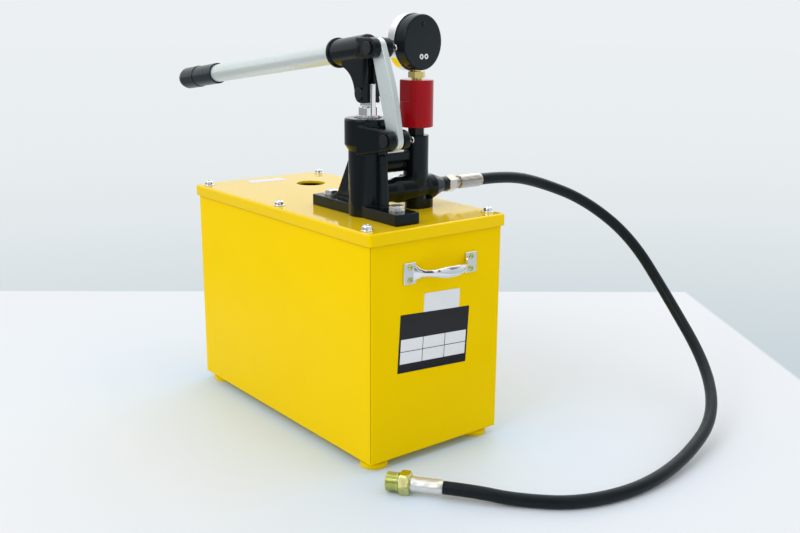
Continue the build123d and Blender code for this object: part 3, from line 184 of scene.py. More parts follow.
class Shader(Nodes):
    """A node material built step by step round one Principled shader."""

    def __init__(self, name):
        self.material = bpy.data.materials.new(name)
        super().__init__(self.material)
        self.out = self.add("ShaderNodeOutputMaterial")
        self.bsdf = self.add("ShaderNodeBsdfPrincipled")
        self.show(self.bsdf.outputs[0])
        self.coords = self.add("ShaderNodeTexCoord").outputs["Object"]

    def show(self, surface):
        self.link(surface, self.out.inputs["Surface"])

    def noise(self, scale, detail=3.0, rough=0.55, lay=None, distortion=0.0):
        """Noise, drawn out along a level heading when lay gives the heading and how many times."""
        node = self.add("ShaderNodeTexNoise")
        node.inputs["Scale"].default_value = scale
        node.inputs["Detail"].default_value = detail
        node.inputs["Roughness"].default_value = rough
        node.inputs["Distortion"].default_value = distortion
        source = self.coords
        if lay:
            heading, length = lay
            mapping = self.add("ShaderNodeMapping", vector_type="TEXTURE")
            mapping.inputs["Rotation"].default_value = (0.0, 0.0, heading)
            mapping.inputs["Scale"].default_value = (length, 1.0, 1.0)
            self.link(self.coords, mapping.inputs["Vector"])
            source = mapping.outputs[0]
        self.link(source, node.inputs["Vector"])
        return node.outputs["Fac"]

    def mix(self, factor, first, second):
        node = self.add("ShaderNodeMix", data_type="RGBA")
        self.feed(node.inputs["Factor"], factor)
        self.feed(node.inputs[6], first)
        self.feed(node.inputs[7], second)
        return node.outputs[2]

    def off_middle(self, axis, place):
        """Distance along one axis from a place on it."""
        return self.math("ABSOLUTE", self.math("SUBTRACT", self.dot(self.coords, axis), place))

    def rounded(self, radius):
        node = self.add("ShaderNodeBevel", samples=4)
        node.inputs["Radius"].default_value = radius
        return node.outputs[0]

    def edge_mask(self, width):
        """1 along the sharp edges, 0 on the faces."""
        normal = self.add("ShaderNodeNewGeometry").outputs["Normal"]
        return self.map(self.dot(self.rounded(width), normal), 0.88, 1.0, 1.0, 0.0)

    def bump(self, height, distance, strength, under):
        node = self.add("ShaderNodeBump")
        node.inputs["Strength"].default_value = strength
        node.inputs["Distance"].default_value = distance
        self.link(height, node.inputs["Height"])
        self.link(under, node.inputs["Normal"])
        return node.outputs[0]

    def set(self, **sockets):
        for key, value in sockets.items():
            self.feed(self.bsdf.inputs[key.replace("_", " ")], value)


def rgba(red, green, blue):
    return (red, green, blue, 1.0)


def srgb(red, green, blue):
    """The linear colour of an 8-bit display colour."""
    parts = [channel / 255.0 for channel in (red, green, blue)]
    linear = [part / 12.92 if part <= 0.04045 else ((part + 0.055) / 1.055) ** 2.4 for part in parts]
    return rgba(*linear)


# Materials
WHITE = rgba(1.0, 1.0, 1.0)
YELLOW, YELLOW_SHADE, WORN_YELLOW = (0.975, 0.662, 0.0005), (0.955, 0.642, 0.0005), (0.74, 0.50, 0.002)
YELLOW_GLOSS, RED_GLOSS = rgba(1.0, 0.8, 0.0), rgba(1.0, 0.45, 0.5)
BLACK_GLOSS, CASE_GLOSS, RUBBER_GLOSS = rgba(0.74, 0.92, 1.0), rgba(0.7, 0.9, 1.0), rgba(0.68, 0.9, 1.0)
# Painted shade: a near-black colour on the tank's inner walls, standing in for the dark inside
TANK_INSIDE_PAINTED_SHADE = rgba(0.016, 0.015, 0.012)
# How far inside the shell's box the painted shade of the inner walls starts, in millimetres
INSIDE_SHADE_INSET_LOW, INSIDE_SHADE_INSET_HIGH = Vector((0.6, 0.6, 2.0)), Vector((0.6, 0.6, 1.5))


def tank_inside_shade_mask(shader):
    """1 on the tank's inner walls, where the shade is painted, 0 on its outside."""
    low, high = box("tank_shell")
    low, high = (low + INSIDE_SHADE_INSET_LOW) * MM, (high - INSIDE_SHADE_INSET_HIGH) * MM
    inside = 1.0
    for axis, start, end in zip(AXES, low, high):
        off = shader.off_middle(axis, (start + end) / 2.0)
        inside = shader.math("MULTIPLY", inside, shader.math("LESS_THAN", off, (end - start) / 2.0))
    return inside


def paint(name, colour, shade, rough, specular, peel, round_edge, scuff=None, lumps=None, tint=WHITE,
          metallic=0.0, inside_painted_shade=None):
    """Sprayed paint: slow drift of colour, orange peel, softened edges, scuffed corners and, where asked,
    painted shade on the tank's inner walls.
    """
    look = Shader(name)
    base = look.mix(look.map(look.noise(7.0, 2.0), 0.3, 0.7), colour, shade)
    patches = look.noise(28.0, 3.0, 0.5)
    roughness = look.map(patches, 0.3, 0.7, rough * 0.85, rough * 1.2)
    if scuff:
        worn, width, amount = scuff
        ragged = look.map(look.noise(190.0, 5.0, 0.75), 0.46, 0.6)
        mask = look.math("MULTIPLY", look.math("MULTIPLY", look.edge_mask(width), ragged), amount)
        base = look.mix(mask, base, rgba(*worn))
    # Painted shade: the tank's inner walls take a near-black colour
    if inside_painted_shade:
        base = look.mix(tank_inside_shade_mask(look), base, inside_painted_shade)
    normal = look.rounded(round_edge)
    if lumps:
        scale, depth = lumps
        normal = look.bump(look.noise(scale, 2.0, 0.45), depth, 1.0, normal)
    scale, depth = peel
    normal = look.bump(look.noise(scale), depth, 1.0, normal)
    look.set(Base_Color=base, Metallic=metallic, Roughness=roughness, Normal=normal,
             Specular_IOR_Level=specular, Specular_Tint=tint)
    return look.material


def metal(name, colour, shade, rough, scale=500.0, depth=0.00001, round_edge=0.0003, blotch=18.0,
          metallic=1.0, third=None, lay=None):
    """Bare, plated or polished metal with a fine grain and a slow change of tone."""
    look = Shader(name)
    base = look.mix(look.map(look.noise(blotch, 5.0, 0.6, lay), 0.35, 0.68), colour, shade)
    if third:
        patches = look.noise(blotch * 0.7, 3.0, 0.5, distortion=1.5)
        base = look.mix(look.map(patches, 0.52, 0.66), base, rgba(*third))
    fine = look.noise(scale, 3.0, 0.6, lay)
    roughness = look.map(fine, 0.25, 0.75, rough * 0.7, rough * 1.35)
    normal = look.bump(fine, depth, 0.6, look.rounded(round_edge))
    look.set(Base_Color=base, Metallic=metallic, Roughness=roughness, Normal=normal)
    return look.material


def rubber(name, colour, dust, rough, scale, depth, powder=0.35, specular=0.35, tint=WHITE):
    """Rubber, plastic or card with a fine grain and a little pale dust."""
    look = Shader(name)
    base = look.mix(look.map(look.noise(70.0, 6.0, 0.65), 0.5, 0.8, 0.0, powder), colour, dust)
    roughness = look.map(look.noise(120.0, 4.0), 0.3, 0.7, rough * 0.85, rough * 1.15)
    normal = look.bump(look.noise(scale, 3.0, 0.6), depth, 0.7, look.rounded(0.0006))
    look.set(Base_Color=base, Roughness=roughness, Normal=normal,
             Specular_IOR_Level=specular, Specular_Tint=tint)
    return look.material


def clear_glass(name):
    look = Shader(name)
    smear = look.map(look.noise(60.0, 4.0), 0.35, 0.7, 0.02, 0.06)
    look.set(Base_Color=rgba(0.97, 0.985, 0.98), Roughness=smear, IOR=1.48, Transmission_Weight=1.0)
    return look.material


def make_materials():
    library = {"glass": clear_glass("glass")}

    def keep(maker, name, colour, second, rough, **looks):
        library[name] = maker(name, rgba(*colour), rgba(*second), rough, **looks)

    # The sheet's inner walls carry the painted shade colour
    sheet_steel = dict(round_edge=0.0016, scuff=(WORN_YELLOW, 0.0006, 0.25), tint=YELLOW_GLOSS,
                       inside_painted_shade=TANK_INSIDE_PAINTED_SHADE)
    keep(paint, "yellow_paint", YELLOW, YELLOW_SHADE, 0.13, specular=0.045,
         peel=(130.0, 0.00001), **sheet_steel)
    keep(paint, "lid_paint", YELLOW, YELLOW_SHADE, 0.085, specular=0.9,
         peel=(120.0, 0.00001), **sheet_steel)
    keep(paint, "black_paint", (0.0035, 0.0052, 0.0056), (0.0050, 0.0064, 0.0070), 0.13, specular=0.27,
         peel=(330.0, 0.00001), round_edge=0.0024, scuff=((0.028, 0.032, 0.035), 0.0007, 0.5),
         lumps=(62.0, 0.00014), tint=BLACK_GLOSS)
    keep(paint, "gauge_black", (0.0095, 0.0125, 0.0147), (0.0112, 0.0142, 0.0163), 0.2, specular=0.25,
         peel=(500.0, 0.000008), round_edge=0.0011, scuff=((0.05, 0.055, 0.06), 0.0005, 0.4),
         tint=CASE_GLOSS)
    keep(paint, "silver_paint", (0.72, 0.785, 0.77), (0.67, 0.74, 0.725), 0.3, specular=0.4,
         peel=(240.0, 0.000004), round_edge=0.0014, metallic=0.5)
    keep(paint, "red_paint", (0.42, 0.006, 0.011), (0.37, 0.005, 0.010), 0.15, specular=0.3,
         peel=(300.0, 0.000012), round_edge=0.0009, scuff=((0.55, 0.22, 0.22), 0.0005, 0.45),
         tint=RED_GLOSS)

    keep(metal, "chrome", (0.86, 0.875, 0.89), (0.82, 0.835, 0.86), 0.06, scale=400.0, depth=0.000004,
         round_edge=0.0009)
    keep(metal, "cast_chrome", (0.84, 0.85, 0.86), (0.79, 0.80, 0.82), 0.09, scale=85.0, depth=0.00006,
         round_edge=0.0006)
    keep(metal, "zinc_steel", (0.80, 0.79, 0.77), (0.72, 0.72, 0.71), 0.3, depth=0.000005)
    keep(metal, "bright_zinc", (0.95, 0.94, 0.92), (0.88, 0.87, 0.85), 0.3, metallic=0.55)
    keep(metal, "swivel_zinc", (0.74, 0.64, 0.55), (0.68, 0.65, 0.61), 0.2, blotch=60.0)
    streaks = dict(scale=620.0, blotch=480.0)
    keep(metal, "pump_ferrule", (0.60, 0.59, 0.55), (0.42, 0.41, 0.38), 0.3, depth=0.00004,
         third=(0.62, 0.52, 0.40), lay=(QUARTER, 40.0), **streaks)
    keep(metal, "end_ferrule", (0.86, 0.87, 0.87), (0.62, 0.62, 0.60), 0.4, depth=0.00005,
         third=(0.84, 0.78, 0.56), lay=(END_HEADING, 40.0), **streaks)
    keep(metal, "yellow_zinc", (0.68, 0.66, 0.26), (0.56, 0.68, 0.26), 0.2, blotch=70.0,
         third=(0.66, 0.52, 0.30))
    keep(metal, "brass", (0.80, 0.66, 0.25), (0.72, 0.58, 0.20), 0.2, scale=600.0)
    keep(metal, "black_oxide", (0.022, 0.023, 0.025), (0.014, 0.014, 0.016), 0.28, round_edge=0.0004,
         metallic=0.55)
    keep(metal, "spring_steel", (0.55, 0.56, 0.58), (0.47, 0.48, 0.50), 0.25, scale=300.0)

    keep(rubber, "rubber", (0.0075, 0.0092, 0.0105), (0.018, 0.023, 0.026), 0.37, scale=600.0,
         depth=0.00006, powder=0.25, specular=0.2, tint=RUBBER_GLOSS)
    keep(rubber, "grip_rubber", (0.009, 0.015, 0.019), (0.018, 0.027, 0.032), 0.25, scale=500.0,
         depth=0.00002, powder=0.3, specular=0.3, tint=RUBBER_GLOSS)
    keep(rubber, "packing", (0.5, 0.47, 0.38), (0.6, 0.58, 0.5), 0.8, scale=900.0, depth=0.0002)
    keep(rubber, "pipe", (0.62, 0.63, 0.6), (0.7, 0.71, 0.68), 0.45, scale=300.0, depth=0.0001)
    keep(rubber, "dial", (0.80, 0.80, 0.78), (0.84, 0.84, 0.82), 0.5, scale=300.0, depth=0.00002)
    keep(rubber, "white_label", (0.83, 0.85, 0.87), (0.77, 0.79, 0.81), 0.22, scale=220.0,
         depth=0.00002, powder=0.5, specular=0.4)
    keep(rubber, "black_label", (0.007, 0.008, 0.011), (0.013, 0.014, 0.018), 0.2, scale=220.0,
         depth=0.00002, powder=0.4, specular=0.3)
    keep(rubber, "ink", (0.008, 0.008, 0.009), (0.02, 0.02, 0.022), 0.5, scale=500.0, depth=0.00001)
    return library


def dress(materials):
    slots = {row["node"]: row["material_slot"] for row in frame["record"]["subparts"]}
    finishes = {"tank_lid": "lid_paint", "gland_nut": "zinc_steel", "handle_grip": "grip_rubber",
                "gauge_case": "gauge_black", "gauge_vent_plug": "ink"}
    for name, node in nodes.items():
        node.data.materials.clear()
        node.data.materials.append(materials[finishes.get(name, slots[name])])


# Mesh tools
def place_piece(name, data, body, material, replaced=()):
    piece = bpy.data.objects.new(name, data)
    scene.collection.objects.link(piece)
    data.materials.append(material)
    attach(piece, body)
    if replaced:
        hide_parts(*replaced)
    return piece


def frame_at(origin, z_axis, x_axis):
    """Matrix from local millimetres to metres in the part's frame."""
    z = Vector(z_axis).normalized()
    x = (Vector(x_axis) - Vector(x_axis).project(z)).normalized()
    turn = Matrix((x, z.cross(x), z)).transposed().to_4x4()
    return Matrix.Translation(Vector(origin) * MM) @ turn @ Matrix.Scale(MM, 4)


def moved(x, y, z=0.0, turn=0.0):
    """Matrix of a step in local millimetres and a turn round local Z."""
    return Matrix.Translation((x, y, z)) @ Matrix.Rotation(turn, 4, "Z")


def polar(angle, reach, height=None):
    spot = (reach * math.cos(angle), reach * math.sin(angle))
    return spot if height is None else spot + (height,)


class Build:
    """Vertices and faces gathered from several closed shells."""

    def __init__(self):
        self.verts, self.faces = [], []

    def add(self, vert):
        self.verts.append(vert)
        return len(self.verts) - 1

    def join(self, low, high):
        """Four-sided faces between two rings of vertices."""
        count = len(low)
        for index in range(count):
            after = (index + 1) % count
            self.faces.append((low[index], low[after], high[after], high[index]))

    def lathe(self, profile, place, segments=64, shape=polar, hollow=False):
        """Closed shell round local Z from points (radius, height), from axis to axis or hollow."""
        rows = []
        for radius, height in profile:
            count = segments if radius > 1e-6 else 1
            angles = [FULL_TURN * index / segments for index in range(count)]
            rows.append([self.add(place @ Vector(shape(angle, radius, height))) for angle in angles])
        closing = rows[:1] if hollow else []
        for low, high in zip(rows, rows[1:] + closing):
            if len(low) > 1 and len(high) > 1:
                self.join(low, high)
                continue
            for index in range(segments):
                after = (index + 1) % segments
                if len(low) == 1:
                    self.faces.append((low[0], high[after], high[index]))
                else:
                    self.faces.append((low[index], low[after], high[0]))
        return self

    def slab(self, outline, bottom, top, place, inset=0.0):
        """Prism on an outline in local X and Y, with its top pulled in a little."""
        centre = sum((Vector((x, y, 0)) for x, y in outline), Vector()) / len(outline)
        rings = []
        for height, pull in ((bottom, 0.0), (top - inset, 0.0), (top, inset)):
            ring = []
            for x, y in outline:
                out = Vector((x, y, 0)) - centre
                spot = centre + out * (1.0 - pull / max(out.length, 1e-6))
                ring.append(self.add(place @ Vector((spot.x, spot.y, height))))
            rings.append(ring)
        for low, high in zip(rings, rings[1:]):
            self.join(low, high)
        self.faces.append(tuple(reversed(rings[0])))
        self.faces.append(tuple(rings[-1]))
        return self

    def take(self, mesh, place):
        start = len(self.verts)
        self.verts.extend(place @ vert.co for vert in mesh.vertices)
        self.faces.extend(tuple(start + index for index in face.vertices) for face in mesh.polygons)

    def mesh(self, name, sharp=32.0):
        data = bpy.data.meshes.new(name)
        data.from_pydata(self.verts, [], self.faces)
        data.update()
        data.shade_smooth()
        data.set_sharp_from_angle(angle=math.radians(sharp))
        return data


HEX_HALF = math.pi / 6.0
HEX_FACE_SHARE, HEX_CHAMFER_SLOPE, HEX_CHAMFER_STEPS = 0.96, 0.6, 8


def hex_shape(flats, turn=0.0):
    """Keeps a turned profile inside a hexagon, which leaves the curved chamfers of a bolt head."""
    def shape(angle, radius, height):
        beside = (angle - turn) % (2.0 * HEX_HALF) - HEX_HALF
        return polar(angle, min(radius, flats / 2.0 / math.cos(beside)), height)
    return shape


def hex_profile(flats, bottom, top, low_chamfer=True, bore=0.0):
    """Profile of a hexagonal nut or head, chamfered at its top and, where asked, at its bottom."""
    corner = flats / 2.0 / math.cos(HEX_HALF)
    face = flats / 2.0 * HEX_FACE_SHARE
    rise = (corner - face) * HEX_CHAMFER_SLOPE
    shares = [step / HEX_CHAMFER_STEPS for step in range(HEX_CHAMFER_STEPS + 1)]
    points = [(bore, bottom)]
    if low_chamfer:
        points += [(face + (corner - face) * share, bottom + rise * share) for share in shares]
    else:
        points += [(face, bottom), (corner, bottom)]
    points += [(corner - (corner - face) * share, top - rise + rise * share) for share in shares]
    points += [(bore, top)]
    return points


def spread(profile, steps):
    """The same profile with more points along each run."""
    points = [profile[0]]
    for start, end in zip(profile, profile[1:]):
        for step in range(1, steps + 1):
            spot = Vector(start).lerp(Vector(end), step / steps)
            points.append((spot.x, spot.y))
    return points


def run_up(radius, start, length, steps):
    """Points up a straight side, close enough together for a thread."""
    return [(radius, start + length * step / steps) for step in range(1, steps + 1)]


def threaded(pitch, depth, start, end, core, crest=1.0, fades=False):
    """Cuts a thread between two heights into the part of a profile that is wider than the core."""
    def shape(angle, radius, height):
        reach = radius
        if start < height < end and radius > core:
            turn = (height / pitch - angle / FULL_TURN) % 1.0
            groove = min(1.0, (1.0 - abs(turn - 0.5) * 2.0) * crest)
            if fades:
                groove *= min(1.0, (height - start) / pitch, (end - height) / (0.5 * pitch))
            reach = radius - depth * groove
        return polar(angle, reach, height)
    return shape


def rounded_outline(low, high, radius, steps=5):
    (left, bottom), (right, top) = low, high
    points = []
    for x, y, start in ((right - radius, bottom + radius, -90), (right - radius, top - radius, 0),
                        (left + radius, top - radius, 90), (left + radius, bottom + radius, 180)):
        for index in range(steps + 1):
            across, up = polar(math.radians(start + 90.0 * index / steps), radius)
            points.append((x + across, y + up))
    return points


def smooth_line(name, points, radius, roundness, fineness):
    """A round curve piece whose control points are the given points in millimetres."""
    data = bpy.data.curves.new(name, "CURVE")
    data.dimensions = "3D"
    data.bevel_depth = radius * MM
    data.bevel_resolution = roundness
    data.use_fill_caps = True
    spline = data.splines.new("NURBS")
    spline.points.add(len(points) - 1)
    for point, place in zip(spline.points, points):
        point.co = (*(Vector(place) * MM), 1.0)
    spline.order_u = 3
    spline.use_endpoint_u = True
    data.resolution_u = fineness
    return data


# Hose and its fittings
HOSE_RADIUS = 6.75
# The hose's route in millimetres, from the nipple to the end fitting, as on the model
HOSE_ROUTE = (
    (157.7, 131.5, 280.5), (157.7, 176, 280.5), (156.7, 232, 267.9), (170.7, 304, 239.2),
    (204.7, 358, 189.1), (259.7, 370, 119.0), (339.7, 348, 54.9), (401.7, 280, 25.9),
    (429.7, 194, 11.13), (442.7, 106, 6.75), (426.7, 28, 6.75), (382.7, -17, 6.75),
    (351.7, -42, 11.05), (325.7, -62, 11.05),
)
OUTLET = frame_at((PUMP.x, 0, BARREL_Z), ACROSS, ALONG)
END_RUN = (Vector(HOSE_ROUTE[-1]) - Vector(HOSE_ROUTE[-2])).normalized()
END_HEADING = math.atan2(END_RUN.y, END_RUN.x)
HOSE_END = frame_at(HOSE_ROUTE[-1], END_RUN, (-END_RUN.y, END_RUN.x, 0))

FERRULE_LENGTH, FERRULE_BORE = 33.5, 5.8
CRIMPS, CRIMP_EASE, CRIMP_DEPTH, CRIMP_CORE = ((3.5, 14.0), (15.5, 28.0)), 2.6, 0.3, 6.9
CRIMP_SIDE, CRIMP_TURN, CRIMP_HOLD = math.pi / 4.0, 0.2, 0.985

END_HEX_FLATS, END_HEX_HEIGHT = 22.0, 11.0
THREAD_RADIUS, THREAD_PITCH, THREAD_DEPTH, THREAD_LENGTH = 10.0, 1.8, 0.95, 14.0


def crimped(angle, radius, height):
    """Eight flats pressed into a ferrule in two bands, with a low ridge between the bands."""
    if radius <= CRIMP_CORE:
        return polar(angle, radius, height)
    pressed = 0.0
    for start, end in CRIMPS:
        if start < height < end:
            pressed = max(pressed, min(1.0, (height - start) / CRIMP_EASE, (end - height) / CRIMP_EASE))
    beside = (angle + CRIMP_TURN) % CRIMP_SIDE - CRIMP_SIDE / 2.0
    flat = (radius - CRIMP_DEPTH) / math.cos(beside) * CRIMP_HOLD
    return polar(angle, radius + (min(radius, flat) - radius) * pressed, height)


def ferrule_profile(neck):
    """From the fitting at height 0 to the mouth, where the hose leaves; a neck reaches below 0."""
    body = [(7.1, 0.0), (7.65, 0.7), (7.75, 1.6), (7.75, 29.0), (7.55, 31.5), (7.25, 33.2),
            (6.95, FERRULE_LENGTH)]
    foot = [(0.0, -neck), (FERRULE_BORE, -neck), (FERRULE_BORE, 0.0)] if neck else [(0.0, 0.0)]
    return foot + spread(body, 10) + [(0.0, FERRULE_LENGTH)]


def end_thread_profile():
    """Male thread with a chamfered end and an open bore, from inside the hexagon to the tip."""
    start = FERRULE_LENGTH + END_HEX_HEIGHT
    tip = start + THREAD_LENGTH
    relief, chamfer, bore, bore_chamfer = THREAD_RADIUS - 1.0, 0.6, 4.5, 0.4
    root = [(0.0, start - 0.1), (relief, start - 0.1), (relief, start + 0.9), (THREAD_RADIUS, start + 1.1)]
    mouth = [(THREAD_RADIUS - chamfer, tip - chamfer), (THREAD_RADIUS - 2.0 * chamfer, tip),
             (bore + bore_chamfer, tip), (bore, tip - bore_chamfer), (bore, tip - 11.5), (0.0, tip - 11.9)]
    return root + run_up(THREAD_RADIUS, start + 1.1, 11.7, 80) + mouth


def make_hose(materials):
    line = smooth_line("hose_line", HOSE_ROUTE, HOSE_RADIUS, roundness=10, fineness=24)
    hose = place_piece("hose_line", line, "base", materials["rubber"], ("hose",))

    neck_start, mouth = box("hose_ferrule")[0].y, HOSE_ROUTE[0][1]
    start = mouth - FERRULE_LENGTH
    body = Build().lathe(ferrule_profile(start - neck_start), OUTLET @ moved(0, 0, start), 96, crimped)
    near = place_piece("outlet_ferrule", body.mesh("outlet_ferrule", sharp=50.0), "base",
                       materials["pump_ferrule"], ("hose_ferrule",))

    nut_low, nut_high = box("hose_nut")
    flats = nut_high.x - nut_low.x
    profile = hex_profile(flats, nut_low.y, nut_high.y, bore=6.1)
    nut = Build().lathe(profile, OUTLET, 96, hex_shape(flats, HEX_HALF), hollow=True)
    swivel = place_piece("swivel_nut", nut.mesh("swivel_nut"), "base",
                         materials["swivel_zinc"], ("hose_nut",))

    flip = HOSE_END @ moved(0, 0, FERRULE_LENGTH) @ Matrix.Rotation(math.pi, 4, "X")
    body = Build().lathe(ferrule_profile(0.0), flip, 96, crimped)
    far = place_piece("end_ferrule_skin", body.mesh("end_ferrule_skin", sharp=50.0), "base",
                      materials["end_ferrule"], ("end_ferrule",))

    start = FERRULE_LENGTH + END_HEX_HEIGHT
    profile = hex_profile(END_HEX_FLATS, FERRULE_LENGTH, start)
    fitting = Build().lathe(profile, HOSE_END, 96, hex_shape(END_HEX_FLATS))
    cut = threaded(THREAD_PITCH, THREAD_DEPTH, start + 1.0, start + 13.1, core=6.0, crest=1.35, fades=True)
    fitting.lathe(end_thread_profile(), HOSE_END, 72, cut)
    end = place_piece("threaded_end", fitting.mesh("threaded_end", sharp=40.0), "base",
                      materials["yellow_zinc"], ("end_fitting",))


# Fasteners. A lid screw's side is the share of its head's height under the round crown
SCREW_FLANGE, SCREW_DOME, SCREW_HEIGHT, SCREW_SIDE = 6.25, 5.2, 6.6, 0.52
SCREW_INSET_ALONG, SCREW_INSET_ACROSS = 18.0, 10.0
HANDLE_SCREW_OUT, HANDLE_SCREW_UP, HANDLE_SCREW_RADIUS, HANDLE_SCREW_RISE = 42.0, 6.75, 3.4, 1.8
HANDLE_SCREW_SEAT = 2.1
# The share of a head's height from which its recess is cut, how far the recess's sides and ends slope,
# and how much shallower it is at its ends
RECESS_FROM, RECESS_SIDE, RECESS_END, RECESS_RISE = 0.55, 0.35, 0.5, 0.45


def screw_head():
    """Profile of a flanged round head, fine enough at its crown for the cross recess."""
    side = SCREW_HEIGHT * SCREW_SIDE
    points = [(0.0, -0.2), (SCREW_FLANGE - 0.4, -0.2), (SCREW_FLANGE, 0.1), (SCREW_FLANGE, 0.9),
              (SCREW_FLANGE - 0.35, 1.2), (SCREW_DOME + 0.1, 1.25), (SCREW_DOME, 1.5), (SCREW_DOME, side)]
    steps = 26
    for index in range(1, steps):
        turn = QUARTER * index / steps
        points.append((SCREW_DOME * math.cos(turn), side + (SCREW_HEIGHT - side) * math.sin(turn)))
    return points + [(0.0, SCREW_HEIGHT)]


def cross_recess(height, length, width, depth, turn):
    """Sinks a cross with sloping sides into the top of a head."""
    def shape(angle, radius, level):
        if level > height * RECESS_FROM:
            across, along = sorted(abs(part) for part in polar(angle - turn, radius))
            side = min(1.0, max(0.0, (width - across) / RECESS_SIDE))
            end = min(1.0, max(0.0, (length - along) / RECESS_END))
            level -= depth * side * end * (1.0 - RECESS_RISE * along / length)
        return polar(angle, radius, level)
    return shape


def make_lid_screws(materials):
    build = Build()
    head = screw_head()
    shank = [(0, -14.0), (2.4, -14.0), (3.0, -13.4), (3.0, -0.1), (0, -0.1)]
    along, across = LID_LENGTH / 2 - SCREW_INSET_ALONG, LID_WIDTH / 2 - SCREW_INSET_ACROSS
    spots = [(TANK_X + row * along, side * across) for row in (-1, 0, 1) for side in (-1, 1)]
    for index, (x, y) in enumerate(spots):
        place = frame_at((x, y, LID_TOP + 0.05), UP, ALONG)
        recess = cross_recess(SCREW_HEIGHT, length=3.5, width=0.95, depth=2.4, turn=0.4 + 1.37 * index)
        build.lathe(head, place, 96, recess)
        build.lathe(shank, place, 32)
    place_piece("cross_screws", build.mesh("cross_screws", sharp=40.0), "base",
                materials["chrome"], ("lid_screws",))


def make_handle_screws(materials):
    build = Build()
    rim, steps = 0.25, 20
    head = [(0.0, 0.0), (HANDLE_SCREW_RADIUS - 0.2, 0.0), (HANDLE_SCREW_RADIUS, rim)]
    for step in range(1, steps):
        out, rise = polar(QUARTER * step / steps, 1.0)
        head.append((HANDLE_SCREW_RADIUS * out, rim + (HANDLE_SCREW_RISE - rim) * rise))
    head.append((0.0, HANDLE_SCREW_RISE))
    shank = [(0, -7.0), (1.2, -7.0), (2.0, -6.0), (2.0, 0.1), (0, 0.1)]
    for side in (-1, 1):
        wall = TANK_X + side * (TANK_LENGTH / 2 + HANDLE_SCREW_SEAT)
        corners = [(end * HANDLE_SCREW_OUT, row * HANDLE_SCREW_UP) for end in (-1, 1) for row in (-1, 1)]
        for index, (y, z) in enumerate(corners):
            place = frame_at((wall, HANDLE_MIDDLE.y + y, HANDLE_MIDDLE.z + z), (side, 0, 0), UP)
            recess = cross_recess(height=1.0, length=2.1, width=0.5, depth=1.1, turn=0.5 + 0.9 * index)
            build.lathe(head, place, 72, recess)
            build.lathe(shank, place, 24)
    place_piece("cross_handle_screws", build.mesh("cross_handle_screws", sharp=40.0), "base",
                materials["yellow_zinc"], ("handle_screws",))


# The bolts' places on the pump's flange, from the pump's axis, and the flange's thickness there
BOLTS = ((-67.25, -1.5, 12.0), (52.25, -1.5, 12.0), (-24.0, 86.0, 10.0))
BOLT_TURNS = (0.35, 0.0, 0.8)
BOLT_FLATS, BOLT_HEAD, BOLT_RADIUS, BOLT_THREAD = 14.0, 4.2, 4.0, 11.0
# Washer, the lid's sheet, nut, and what stands past the nut
BOLT_STACK = 1.6 + 1.5 + 6.5 + 3.0


def make_base_bolts(materials):
    build = Build()
    head = hex_profile(BOLT_FLATS, 0.0, BOLT_HEAD, low_chamfer=False)
    for (x, y, thickness), turn in zip(BOLTS, BOLT_TURNS):
        place = frame_at((PUMP.x + x, PUMP.y + y, LID_TOP + thickness + 1.65), UP, ALONG)
        build.lathe(head, place, 96, hex_shape(BOLT_FLATS, turn))
        tip = -thickness - BOLT_STACK
        shank = [(0, tip), (BOLT_RADIUS - 0.8, tip), (BOLT_RADIUS, tip + 0.8)]
        shank += run_up(BOLT_RADIUS, tip + 0.8, BOLT_THREAD, 72)
        shank += [(BOLT_RADIUS, 0.1), (0, 0.1)]
        cut = threaded(pitch=1.25, depth=0.6, start=tip + 0.9, end=tip + 0.6 + BOLT_THREAD,
                       core=BOLT_RADIUS - 0.1)
        build.lathe(shank, place, 36, cut)
    place_piece("hex_bolts", build.mesh("hex_bolts", sharp=40.0), "base",
                materials["zinc_steel"], ("base_bolts",))


# A split pin's wire, as (along, out) from the middle of the pin that it holds: the long bent end,
# one leg with its half of the eye, the eye's tip, and the short bent end
PIN_LONG_END = ((-10.5, 3.8), (-9.0, 2.4), (-6.6, 0.75))
PIN_LEG = ((-2.0, 0.7), (4.2, 0.7), (5.4, 2.0), (7.5, 2.9), (9.5, 2.0))
PIN_EYE_TIP = ((10.3, 0.0),)
PIN_SHORT_END = ((-6.4, -0.75), (-8.2, -1.9), (-9.2, -3.3))


def split_pin(name, node, pin, heading, body, materials):
    """A split pin as one bent wire: eye, two legs through the pin, and ends bent apart."""
    spot = Vector((middle(pin).x, middle(node).y, middle(pin).z))
    axis = Vector(heading)
    side = axis.cross(Vector(ACROSS))
    other_leg = tuple((along, -out) for along, out in reversed(PIN_LEG))
    wire = PIN_LONG_END + PIN_LEG + PIN_EYE_TIP + other_leg + PIN_SHORT_END
    points = [spot + axis * along + side * out for along, out in wire]
    line = smooth_line(name, points, radius=0.75, roundness=4, fineness=6)
    place_piece(name, line, body, materials["zinc_steel"], (node,))


def make_split_pins(materials):
    split_pin("lower_split_pin", "plunger_split_pin", "plunger_pin", (0, 0, -1), "lever", materials)
    split_pin("upper_split_pin", "link_split_pin", "link_pin", ALONG, "lever", materials)
    split_pin("fork_split_pin", "ear_split_pin", "ear_pin", ALONG, "base", materials)


# Carry handles
BOW_SPAN, BOW_WIDTH, BOW_HEIGHT, BOW_SHEET = 42.0, 16.0, 23.0, 2.0
# Half the bow's height at distances from its middle
BOW_WAIST = ((0.0, 6.2), (8.0, 6.1), (15.0, 5.0), (21.0, 4.0), (27.0, 3.5), (31.0, 4.6), (34.0, 7.2),
             (37.0, 10.3))
# Half span, start and reach from the wall of the bow's outer and inner arcs
BOW_OUTER, BOW_INNER = (38.0, 1.0, 23.2), (34.0, 0.6, 16.8)
BOW_STEPS, BOW_SIDES, BOW_FULLNESS = 96, 40, 0.78


